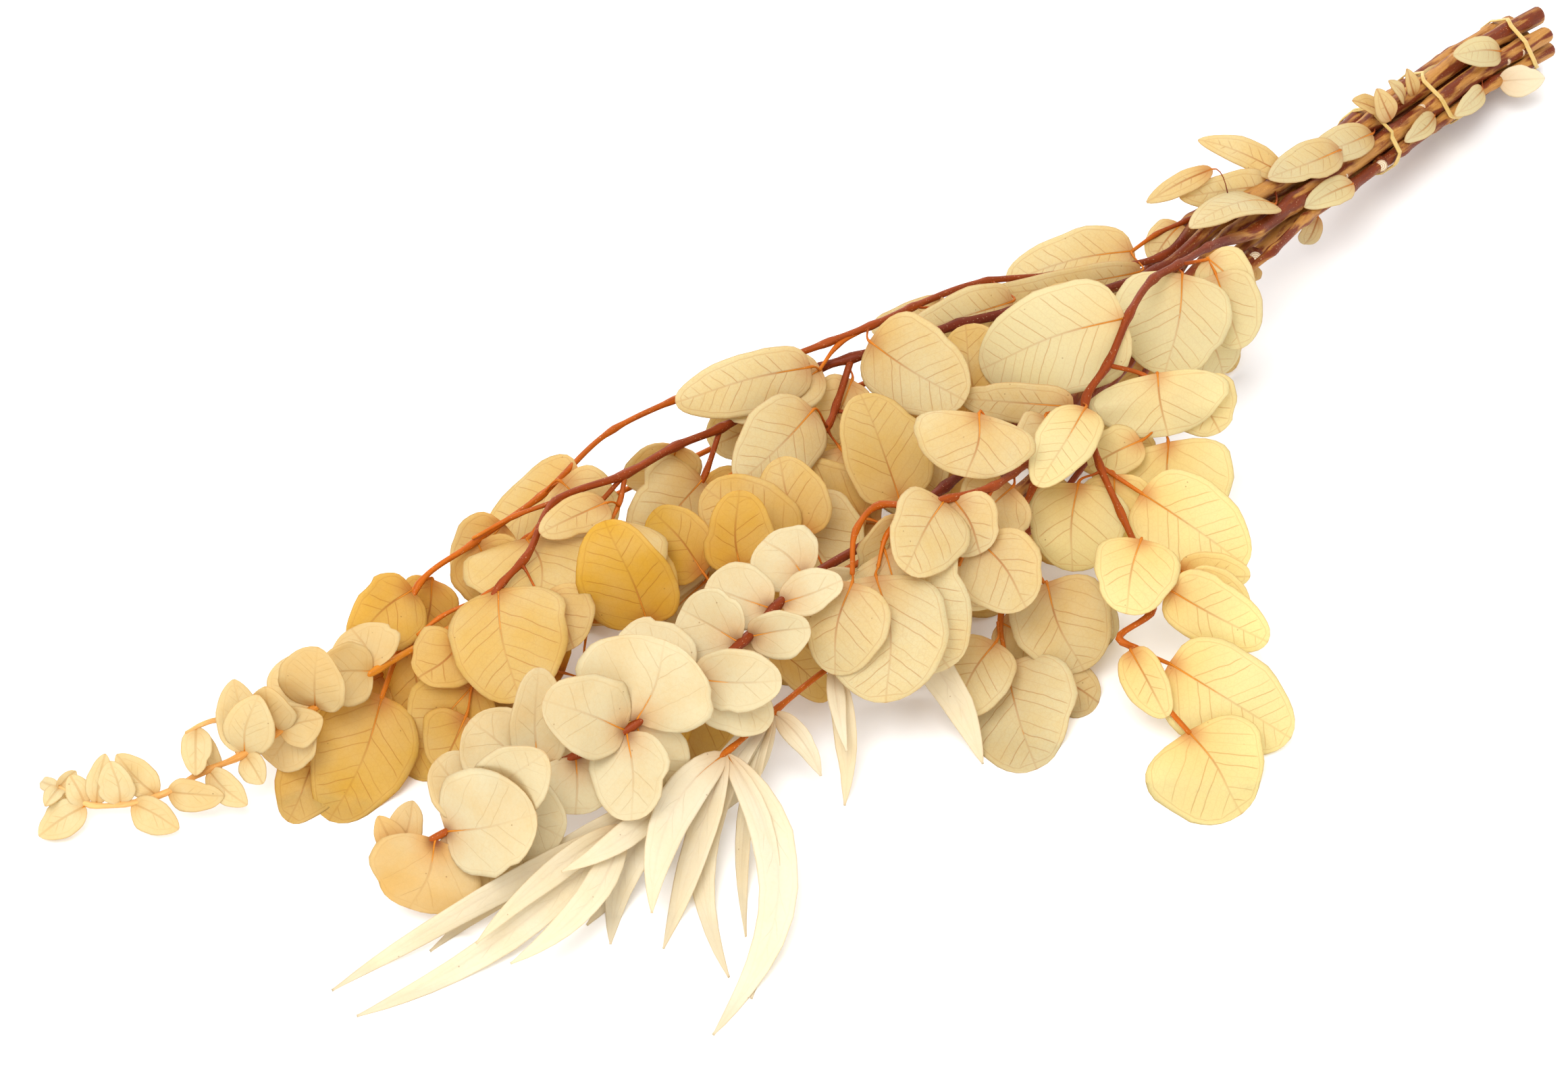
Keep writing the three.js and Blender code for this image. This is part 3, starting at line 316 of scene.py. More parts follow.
def rubber():
    """Tan rubber, a little clear: in slow clouds of darker and paler tan, with dust and fine lines along it.
    """
    f = Finish("natural_rubber")
    grain = f.value("grain", "Vector")
    cloud = f.noise(grain, 0.12, 3)
    dust = f.noise(grain, 1.8, 2)
    colour = f.blend(cloud, "#b8923f", "#dcc07a")
    colour = f.blend(f.ease(dust, 0.55, 0.8, 0, 0.35), colour, "#efe2ba")
    return f.surface(f.skin(
        Base_Color=colour,
        Roughness=0.42,
        Subsurface_Weight=0.35,
        Subsurface_Radius=(0.002, 0.0012, 0.0005),
        Subsurface_Scale=1.0,
        Normal=f.bump(dust, 0.0001),
    ))


rubber_finish = rubber()
for name, (seat, slant, lead, turns) in BANDS.items():
    line, out, along = band_line(seat, slant, lead, FINE_SPANS)
    angle = np.linspace(0, 2 * np.pi, FINE_SPANS, endpoint=False)[:, None]
    strands = []
    for phase in np.arange(turns) * np.pi:
        apart = (turns - 1) * STRAND_APART * np.cos(angle + phase)
        lift = BAND_THICK / 2 + (turns - 1) * STRAND_LIFT * np.sin(angle + phase)
        strand = line + apart * along + lift * out
        strands.append(loop_shell(strand, out, along, STRAND_WIDE[turns], STRAND_THICK))
    dress(joined_mesh(name + "_rubber", strands, rubber_finish), "elastic", name)

# ------------------------------------------------------------------ wood and twigs
# Stems, twigs and leaf stalks are round and a little uneven, swollen where something grows from them, and
# slightly slanted at the cut. The bark is tan with red-brown patches in the bundle, dark red further out,
# and rust to orange towards the thin ends.
SPREAD = np.array((1, 1, 1, 1, 1, 1, 1.12, 1.4))  # how far the seats stand apart at each bundle point
THINNING = np.array((1, 1, 1, 1, 1, 1, 0.9, 0.7))  # a stem's radius there, over its seat's
CUT_BACK = dict(zip(SEATS, (0, 5, 1, 7, 3, 9, 6, 22, 30, 16)))  # how much shorter than the longest
SUNK = 0.45  # how far out from the middle of a twig a stalk starts, over the twig's radius
SUNK_END = 1  # how far back from its end
SLIDE = 1.6  # how far along the twig from its joint
SWELL, SWELL_LONG = 0.38, 2.6  # of the wood at a joint
UNEVEN = 0.03  # the height of each slow wave in a rod's radius, over the radius
CUT_SLANT, SLANT_LONG = 0.3, 4  # of a sawn end, over its radius, and how far in it fades
RIM, RIM_LONG = 0.93, 0.35  # a sawn end's radius over the stem's, and how far in the bark starts
TIP_THIN, TIP_LONG = 0.4, 0.3  # the last ring's radius over the one before, and the step to it
TAPER = 0.3  # how much thinner a twig is at its end
YOUNG, STOUT = 0.2, 1.8  # the age of a stem at the neck of the bunch, and the radius of one with that age
TWIG_AGE = 0.75  # how much older than YOUNG the end of a twig looks
STEM_SIDES, TWIG_SIDES = 14, 8
STEM_STEP, TWIG_STEP = 2.2, 1.5  # between the rings
GRAIN_LONG = 900  # each rod's bark starts somewhere in this length of the pattern


def seat_points(name):
    """A stem's middle line through the bundle: the bundle's line, moved by its seat, cut back at the end."""
    across, up, _ = SEATS[name]
    _, side, rise = bundle_ways()
    points = BUNDLE + SPREAD[:, None] * (across * side + up * rise)
    points[0] += unit(points[1] - points[0]) * CUT_BACK[name]
    return points


def at_depth(uv, depth):
    """Points on the sight lines of uv, that deep along the view."""
    return EYE + sight(uv) * np.asarray(depth)[..., None]


def depth_of(points):
    return (EYE - points) @ BACK


def pictured(points):
    """The picture places of points: their offsets from the eye over their depth."""
    away = points - EYE
    return PICTURE / 2 + FOCAL * np.stack((away @ RIGHT, -away @ UP), -1) / depth_of(points)[..., None]


def bend(x, first, leave, last, arrive):
    """A cubic from first, at x = 0, to last, at x = 1, that sets out along leave and comes in along
    arrive."""
    return (
        (2 * x**3 - 3 * x**2 + 1) * first + (x**3 - 2 * x**2 + x) * leave
        + (3 * x**2 - 2 * x**3) * last + (x**3 - x**2) * arrive
    )


def flowing(route, spacing):
    """A smooth line through the route's points: a bend between neighbours, whose way at a point is the
    mean of the ways on both sides, each weighted by the other side's length. Gives points about `spacing`
    apart, how far each is along the line, and how far along each of the route's points is."""
    route = np.asarray(route, float)
    gaps = np.linalg.norm(np.diff(route, axis=0), axis=1)
    ways = np.diff(route, axis=0) / gaps[:, None]
    inner = (ways[:-1] * gaps[1:, None] + ways[1:] * gaps[:-1, None]) / (gaps[:-1] + gaps[1:])[:, None]
    ways = np.vstack((ways[:1], inner, ways[-1:]))
    marks = np.concatenate(((0,), np.cumsum(gaps)))
    far = np.linspace(0, marks[-1], max(int(np.ceil(marks[-1] / spacing)), 2) + 1)
    i = np.clip(np.searchsorted(marks, far, "right") - 1, 0, len(gaps) - 1)
    x, gap = ((far - marks[i]) / gaps[i])[:, None], gaps[i][:, None]
    return bend(x, route[i], gap * ways[i], route[i + 1], gap * ways[i + 1]), far, marks


def tube(points, radii, sides, age, cut=0, slant=0.0, start=0.0):
    """A rod's shell: circles carried along the points, turned so that they never twist, and closed at both
    ends. Slant leans the first circle, which `cut` marks as sawn wood. The grain is the point's place on
    the circle and its distance along, so that a pattern follows the rod."""
    along = unit(np.gradient(points, axis=0))
    steady = np.eye(3)[np.argmin(abs(points[-1] - points[0]))]
    across = unit(np.cross(along, steady))
    third = np.cross(along, across)
    turn = np.linspace(0, 2 * np.pi, sides, endpoint=False)
    c, s = np.cos(turn)[None, :, None], np.sin(turn)[None, :, None]
    radii = np.broadcast_to(radii, len(points))[:, None, None]
    ring = points[:, None] + radii * (c * across[:, None] + s * third[:, None])
    far = np.concatenate(((0,), np.cumsum(np.linalg.norm(np.diff(points, axis=0), axis=1))))
    lean = slant * np.exp(-far / SLANT_LONG)[:, None, None] * radii * c
    ring = ring + lean * along[:, None]
    n = len(points)
    k = np.arange(sides // 2 - 1)
    lid = np.stack((k, k + 1, sides - 2 - k, sides - 1 - k), -1)
    faces = np.vstack((skin_faces(n, sides), lid[:, ::-1], lid + (n - 1) * sides))
    grain = np.concatenate(np.broadcast_arrays(radii * c, radii * s, far[:, None, None] + start), -1)
    sawn = np.where(np.arange(n)[:, None] < cut, 1.0, 0.0) + np.zeros(sides)
    values = {
        "grain": grain.reshape(-1, 3),
        "age": np.repeat(np.broadcast_to(age, n), sides),
        "sawn": sawn.ravel(),
    }
    return {"points": ring.reshape(-1, 3), "faces": faces, "values": values}


def lay_out_wood(name, thick, thin, wood, twigs, young=YOUNG):
    """A stem's middle line from its cut end to its tip, and its twigs, as rods; and its joints, the places
    where a stalk or a twig can start: their points, picture places, sunk starts, ways along, slides and
    ages. A rod has its seat's radius in the bundle and goes from thick to thin beyond it; age goes from 0
    in the bundle to 1 at the thin ends, and thin stems look younger."""
    seat = seat_points(name)
    points = np.vstack((seat, at_height(wood)))
    out = np.linspace(0, 1, len(wood))
    radii = np.concatenate((SEATS[name][2] * THINNING, thick + (thin - thick) * out))
    ages = np.concatenate((np.zeros(len(seat)), young + 0.5 * (STOUT - thick) + 0.5 * out))
    joints = {"point": points, "uv": pictured(points), "sunk": SUNK * radii, "age": ages}
    joints["run"] = unit(np.diff(np.vstack((2 * points[:1] - points[1:2], points)), axis=0))
    joints["slide"] = np.full(len(points), SLIDE)
    joints["sunk"][-1], joints["slide"][-1] = -SUNK_END, 0
    rods = [(points, radii, ages)]
    for lean, stout, route in twigs:
        j = nearest(joints, route[0])
        steps = np.arange(len(route)) / (len(route) - 1)
        spots = at_depth(route, depth_of(joints["point"][j]) - lean * steps)
        spots[0] = joints["point"][j]
        ages = joints["age"][j] + (TWIG_AGE + young - joints["age"][j]) * (0.25 + 0.75 * steps)
        rods.append((spots, stout * (1 - TAPER * steps), ages))
        inner = steps[1:] < 1
        added = {
            "point": spots[1:],
            "uv": np.array(route[1:], float),
            "sunk": np.where(inner, SUNK * stout, -SUNK_END),
            "age": ages[1:],
            "run": unit(np.diff(spots, axis=0)),
            "slide": np.where(inner, SLIDE, 0),
        }
        joints = {key: np.concatenate((joints[key], added[key])) for key in joints}
    return rods, joints


def nearest(joints, uv):
    return np.argmin(np.hypot(*(joints["uv"] - uv).T))


def rod_shell(route, radii, ages, dice, sawn):
    """A stem or twig: swollen at the route's points by a bell curve SWELL_LONG wide, and uneven by two slow
    waves along it. A sawn end has a narrow rim and starts a new length of grain."""
    points, far, marks = flowing(route, STEM_STEP if sawn else TWIG_STEP)
    radius = np.interp(far, marks, radii)
    swell = np.exp(-(((far[:, None] - marks[1:-1]) / (SWELL_LONG + 0.4 * radius[:, None])) ** 2)).sum(1)
    waves = UNEVEN * np.sin(far / 9 + dice.uniform(0, 6)) + UNEVEN * np.sin(far / 23 + dice.uniform(0, 6))
    share = SWELL * np.clip(1.6 / radius, 0.25, 1)
    radius = radius * (1 + share * swell + waves)
    rim = RIM * radius[0]
    points = np.vstack((points, points[-1] + unit(points[-1] - points[-2]) * TIP_LONG))
    radius = np.append(radius, radius[-1] * TIP_THIN)
    age = np.append(np.interp(far, marks, ages), ages[-1])
    if not sawn:
        return tube(points, radius, TWIG_SIDES, age, start=dice.uniform(0, GRAIN_LONG))
    points = np.vstack((points[:1], points))
    points[1] += unit(points[2] - points[0]) * RIM_LONG
    radius, age = np.append(rim, radius), np.append(ages[0], age)
    slant = CUT_SLANT * dice.uniform(-1, 1)
    return tube(points, radius, STEM_SIDES, age, 1, slant, dice.uniform(0, GRAIN_LONG))


def bark():
    """Bark by age, with streaks along the grain, red-brown patches over tan in the bundle, pale specks, and
    sawn ends of grey-tan wood with rings."""
    f = Finish("eucalyptus_bark")
    grain, age = f.value("grain", "Vector"), f.value("age")
    streak = f.noise(f.stretch(grain, (1, 1, 0.12)), 0.9, 4, 0.6)
    patch = f.noise(f.stretch(grain, (0.24, 0.24, 0.035)), 1.0, 3, 0.55)
    tan = f.blend(streak, "#8f5520", "#c8944c")
    red = f.blend(streak, "#481806", "#863812")
    old = f.blend(f.ease(patch, 0.41, 0.55), tan, red)
    young = f.ramp(f.sum("DIVIDE", age, 1.5), [
        (0.0, "#501a08"), (0.2, "#622006"), (0.42, "#8c3a08"),
        (0.58, "#b65a08"), (0.72, "#cc8020"), (1.0, "#e6c88a"),
    ])
    young = f.blend(f.ease(streak, 0.35, 0.7, 0, 0.3), young, "#6b2a12", "MULTIPLY")
    colour = f.blend(f.ease(age, 0.02, 0.3), old, young)
    specks = f.noise(f.stretch(grain, (1, 1, 0.5)), 2.6, 1)
    colour = f.blend(f.ease(specks, 0.68, 0.76, 0, 0.45), colour, "#d9b489")
    x, y, _ = f.step("SeparateXYZ", {0: grain}).outputs
    ring = f.sum("SINE", f.times(f.sum("SQRT", f.plus(f.times(x, x), f.times(y, y))), 9))
    wood = f.blend(f.ease(ring, -1, 1), "#b79a78", "#dccbb0")
    return f.surface(f.skin(
        Base_Color=f.blend(f.value("sawn"), colour, wood),
        Roughness=f.ease(streak, 0.2, 0.8, 0.38, 0.62),
        Specular_IOR_Level=0.15,
        Normal=f.bump(streak, 0.0004, 0.7),
    ))


bark_finish = bark()

# ------------------------------------------------------------------ leaves
# A leaf is a thin dry blade, bleached to cream. The stalk runs on as a raised midrib, side veins leave it
# and end at a vein that follows the edge. Blades are arched, a little folded and waved, no two alike.
# name: where the blade is widest, how round it is, and how its edges cup and its length arches
KINDS = {
    "plain": (0.7, 0.43, 0, 0.06),
    "dollar": (0.7, 0.43, -0.1, 0.06),
    "curled": (0.72, 0.55, -0.1, 0.12),
    "round": (0.85, 0.43, 0.14, 0.03),
    "oval": (0.8, 0.58, 0, 0.06),
    "ribbon": (0.7, 0.75, 0, 0.05),
}
# The plain solids' outlines have points in these rows and columns.
OUTLINES = {
    "plain": ((0.14, 0.66), (-1, 1)),
    "dollar": ((0.1, 0.42, 0.82), (-1, 0, 1)),
    "curled": ((0.13, 0.45, 0.83), (-1, 0, 1)),
    "round": ((0.12, 0.48, 0.86), (-1, 0, 1)),
    "oval": ((0.2, 0.72), (-1, 1)),
    "ribbon": ((0.12, 0.36, 0.62, 0.85), (-1, 1)),
}
BLADE, SOLID_BLADE = 0.36, 0.8  # how thick a blade is here, and in the solid
HOVER = 0.02  # of the lowest blades over the table
STALK_LIFT = 2  # how much nearer to the viewer than its twig a blade starts,
BEHIND = -8  # or farther, where it leans back as much as this
ON_TWIG = 12  # a base this near to its joint in the picture has no stalk
PRESS = -6  # the lowest that a tip may be before its blade is laid on the table
TURNS = (0, 18, -18, 36, -36)
NEARER = (0, 4, -4, 8, -8, 12, -12, 17, -17, 23, -23, 30, -30)
FOLLOWS = 0.4  # how much of its tip's shift a base takes part in
SAME = 0.05  # a solid's corner this near to a worked-out one is that one
ENOUGH = 0.35  # the share of corners by which a leaf is known
ROWS = (1 - np.cos(np.pi * np.linspace(0, 1, 17))) / 2
COLUMNS = np.array((-1, -0.88, -0.62, -0.32, -0.07, 0, 0.07, 0.32, 0.62, 0.88, 1))
LEAST_HALF = 0.4  # of a blade's width
RIM_THIN = 0.6  # how thick the rim is, over the blade
DENT_LONG = 0.07  # over the blade's length
DROOPS_FROM, TWISTS_ABOUT = 0.55, 0.3  # the places s along the blade
GROOVE, GROOVE_WIDE = 0.22, 0.9  # that the midrib lies in, at the base of the blade
MIDRIB = np.linspace(0, 0.72, 11)
STALK, RIB, RIB_END = 0.62, 0.42, 0.1  # radii of a large leaf's stalk, and of its midrib at both ends
STALK_AGE, OLDER = 0.95, 0.36  # the age at the blade, and how much paler than it the midrib ends
STALK_STEPS, STALK_SIDES = 8, 6
FULL_GROWN = 16  # how wide a leaf is that has a full stalk


def crossed(rows, columns):
    """Each row's value with each column's, as two flat arrays."""
    return (values.ravel() for values in np.meshgrid(rows, columns, indexing="ij"))


def half_width(width, shape, s):
    """A blade's half width at s: sin(pi s^low)^full of half its widest."""
    low, full = shape[:2]
    return width / 2 * np.clip(np.sin(np.pi * s**low), 0, 1) ** full


def blade_surface(leaf, s, t, half=None):
    """A blade's middle surface and the ways it faces. From base to tip s runs from 0 to 1, from
    edge to edge t from -1 to 1. The middle line is straight, plus bow sideways and arch outwards, each
    times 4s(1-s) of the length. The edges cup outwards by cup times the half width times t squared."""
    *_, cup, arch = leaf["shape"]
    base, tip = leaf["base"][:, None], leaf["tip"][:, None]
    length = np.linalg.norm(tip - base, axis=-1, keepdims=True)
    along = (tip - base) / length
    facing = leaf["facing"][:, None]
    face = unit(facing - along * (facing * along).sum(-1, keepdims=True))
    side = np.cross(face, along)
    s, t = s[None, :, None], t[None, :, None]
    tilt, swell = 4 * (1 - 2 * s), 4 * s * (1 - s) * length
    line = base + along * s * length + side * leaf["bow"] * swell + face * arch * swell
    run = unit(along + side * leaf["bow"] * tilt + face * arch * tilt)
    across = unit(np.cross(face, run))
    out = np.cross(run, across)
    if half is None:
        half = half_width(leaf["width"][:, None, None], leaf["shape"], s)
    return line + across * half * t + out * cup * half * t**2, out


def rest_on_table(points, out, thick):
    """Where a blade would pass under the table it lies along it instead, slid back along the view."""
    low = thick / 2 * abs(out[..., 2]) + HOVER
    return points + BACK * (np.clip(low - points[..., 2], 0, None) / BACK[2])[..., None]


def turned(way, axis, angle):
    """Way turned about axis: its part along the axis stays, and the rest turns in its plane."""
    along = axis * (way * axis).sum(-1, keepdims=True)
    c, s = np.cos(angle)[..., None], np.sin(angle)[..., None]
    return along + (way - along) * c + np.cross(axis, way) * s


def leaf_ways(joints, row, kind, sessile):
    """One leaf as read from the view, in all the ways that it may have been bent clear of its neighbours:
    rolled about its length by TURNS, and its tip brought nearer to the viewer by NEARER."""
    u, v, tip_u, tip_v, width, lean, roll, *bow = row
    j = nearest(joints, (u, v))
    joint, sunk = joints["point"][j], joints["sunk"][j]
    sessile = sessile or np.hypot(*(joints["uv"][j] - (u, v))) < ON_TWIG
    turn, nearer = crossed(TURNS, NEARER)
    lift = STALK_LIFT if lean > BEHIND else -STALK_LIFT
    deep = depth_of(joint) - (0 * nearer if sessile else lift + FOLLOWS * nearer)
    base = np.tile(joint, (len(turn), 1)) if sessile else at_depth((u, v), deep)
    tip = at_depth((tip_u, tip_v), deep - lean - nearer)
    tip = np.where(tip[:, 2:] < PRESS, at_height((tip_u, tip_v, PRESS)), tip)
    along = unit(tip - base)
    grows = along if sessile else unit(base - joint)
    run = joints["run"][j]
    start = joint + sunk * grows + joints["slide"][j] * np.sign(grows @ run)[:, None] * run
    facing = turned(np.tile(BACK, (len(turn), 1)), along, np.radians(roll + turn))
    return {
        "shape": KINDS[kind],
        "start": start,
        "base": start if sessile else base,
        "tip": tip,
        "facing": facing,
        "width": width * deep / FOCAL,
        "bow": bow[0] if bow else 0,
        "age": joints["age"][j],
    }


def one_of(ways, i):
    """The leaf in the i-th of its ways."""
    return {key: each[i:i + 1] if isinstance(each, np.ndarray) else each for key, each in ways.items()}


def as_built(ways, kind, corners):
    """The one of the ways whose outline has most of its points at corners of the stem's solid, or None."""
    rows, columns = OUTLINES[kind]
    s = np.append(np.repeat(rows, len(columns)), 1.0)
    t = np.append(np.tile(columns, len(rows)), 0.0)
    points, out = blade_surface(ways, s, t)
    points = rest_on_table(points, out, SOLID_BLADE)
    both = np.concatenate((points + out * SOLID_BLADE / 2, points - out * SOLID_BLADE / 2), axis=1)
    found = np.array([[corners.find(p)[2] < SAME for p in way] for way in both]).mean(1)
    return one_of(ways, np.argmax(found)) if found.max() >= ENOUGH else None


def whims(dice, width, tone_and_shade):
    """What makes one leaf unlike the next: how it waves, folds, droops, is lopsided, and is nibbled."""
    return {
        "wave": dice.uniform(0.015, 0.045) * width,
        "beats": dice.uniform(0.8, 2.2, 2),
        "phases": dice.uniform(0, 2 * np.pi, 4),
        "fold": dice.uniform(-0.02, 0.1),
        "droop": dice.uniform(-0.10, 0.16),
        "twist": dice.uniform(-0.07, 0.07),
        "lopsided": dice.uniform(-0.06, 0.06),
        "dent": dice.choice((0, 0.05, 0.08, 0.14)),
        "sway": dice.uniform(-0.16, 0.16),
        "dent_at": (dice.uniform(0.35, 0.85), dice.choice((-1, 1))),
        # how golden the leaf is: partly its own colour, partly painted shade
        "tone_and_shade": tone_and_shade,
        "seed": dice.uniform(0, 500),
    }


def painted_shade_and_tone(leaf, dice, beyond, before, ends=(600, 1000), across=0):
    """How golden a leaf is, from before the first of ends to beyond the second, counted from the left of
    the view or, across, from the top: this change with the place in the view is painted shade, the warm
    gold that light takes through stacked leaves. The dice make it a little more or less, as the leaf's
    own colour."""
    place = pictured((leaf["base"][0] + leaf["tip"][0]) / 2)[across]
    return np.interp(place, ends, (before, beyond)) + dice.uniform(-0.1, 0.1)


def fine_blade(leaf, whim, s, t):
    """The blade's surface with its whims. The edges wobble by two sines of s, one side is wider, and one
    may have a dent, a bell curve along it. Outwards the blade waves by a sine of s times t squared, its
    halves fold up in proportion to the distance from the middle, its last half droops with the square of
    how far it goes on, and it twists. The midrib sways aside in half a sine and lies in a groove. Gives
    the points, the ways they face, their places on the flat leaf, and how far each is from the rim."""
    length = np.linalg.norm(leaf["tip"] - leaf["base"])
    half = np.maximum(half_width(leaf["width"][0], leaf["shape"], s), LEAST_HALF)
    left = t < 0
    wobble = 1 + 0.03 * np.sin(7 * s + whim["phases"][0] + left) + 0.016 * np.sin(19 * s + whim["phases"][1])
    at, edge = whim["dent_at"]
    dent = whim["dent"] * np.exp(-(((s - at) / DENT_LONG) ** 2)) * (np.sign(t) == edge)
    x = half * t * (wobble + whim["lopsided"] * t) * (1 - dent)
    points, out = blade_surface(leaf, s, x / half, half[None, :, None])
    beat = np.where(left, whim["beats"][0], whim["beats"][1])
    phase = np.where(left, whim["phases"][2], whim["phases"][3])
    wave = whim["wave"] * t**2 * np.sin(2 * np.pi * beat * s + phase)
    rise = wave * np.sin(np.pi * np.clip(s, 0, 1)) ** 0.5
    rise += whim["fold"] * abs(x) * np.sin(np.pi * s) ** 0.5
    rise -= whim["droop"] * length * np.clip(s - DROOPS_FROM, 0, None) ** 2
    rise += whim["twist"] * x * (s - TWISTS_ABOUT)
    own = x - half * whim["sway"] * np.sin(np.pi * s)
    rise -= GROOVE * np.exp(-((own / GROOVE_WIDE) ** 2)) * (1 - s)
    points = points + out * rise[None, :, None]
    points = rest_on_table(points, out, BLADE)[0]
    edge = np.minimum((1 - abs(t)) * half, np.minimum(s, 1 - s) * length)
    return points, out[0], np.stack((own, s * length), -1), edge


def blade_shell(leaf, whim):
    """A leaf blade: its surface on a grid, moved half its thickness to each side, and joined at the rim."""
    s, t = crossed(ROWS, COLUMNS)
    points, out, flat, edge = fine_blade(leaf, whim, s, t)
    thick = BLADE / 2 * np.where(abs(t) == 1, RIM_THIN, 1)[:, None]
    n, m = len(ROWS), len(COLUMNS)
    i, k = crossed(np.arange(n - 1), np.arange(m - 1))
    here = i * m + k
    front = np.stack((here, here + m, here + m + 1, here + 1), -1)
    rim = np.concatenate((
        np.arange(n) * m, (n - 1) * m + np.arange(1, m),
        np.arange(n - 2, -1, -1) * m + m - 1, np.arange(m - 2, 0, -1),
    ))
    after = np.roll(rim, -1)
    walls = np.stack((after, rim, rim + n * m, after + n * m), -1)
    place = np.column_stack((flat, np.full(n * m, whim["seed"])))
    return {
        "points": np.vstack((points + out * thick, points - out * thick)),
        "faces": np.vstack((front, front[:, ::-1] + n * m, walls)),
        "values": {
            "place": np.tile(place, (2, 1)),
            "edge": np.tile(edge, 2),
            # how golden the leaf is: partly its own colour, partly painted shade
            "tone_and_shade": np.full(2 * n * m, whim["tone_and_shade"]),
        },
    }


def stalk_shell(leaf, whim, stalk, rib, dice):
    """A leaf's stalk and midrib: a curve from the twig to the blade that ends in the blade's own way, and
    then along its middle, thinning until it sinks into the blade. The stalk is thick where it leaves the
    twig and thin in its middle. A blade without a stalk has the midrib alone."""
    middle, *_ = fine_blade(leaf, whim, MIDRIB, whim["sway"] * np.sin(np.pi * MIDRIB))
    start, base = leaf["start"][0], leaf["base"][0]
    gap = np.linalg.norm(base - start)
    path, radii = middle[1:], rib + (RIB_END - rib) * (MIDRIB[1:] / MIDRIB[-1]) ** 0.7
    age = STALK_AGE + OLDER * MIDRIB[1:] ** 0.6
    if gap > 1:
        x = np.linspace(0, 1, STALK_STEPS)[:, None]
        leave = unit(unit(base - start) + 0.5 * unit(dice.normal(size=3))) * gap
        arrive = unit(middle[1] - middle[0]) * gap
        path = np.vstack((bend(x, start, leave, middle[0], arrive), path))
        x = x.ravel()
        waisted = stalk * (1.35 - 0.6 * np.sin(np.pi * x**0.8) ** 0.7) - (stalk - rib) * x
        radii = np.concatenate((waisted, radii))
        age = np.concatenate((leaf["age"] + (STALK_AGE - leaf["age"]) * x, age))
    else:
        path = np.vstack((start, path))
        radii = np.concatenate((radii[:1] * 1.2, radii))
        age = np.concatenate((age[:1], age))
    return tube(path, radii, STALK_SIDES, age, start=dice.uniform(0, GRAIN_LONG))


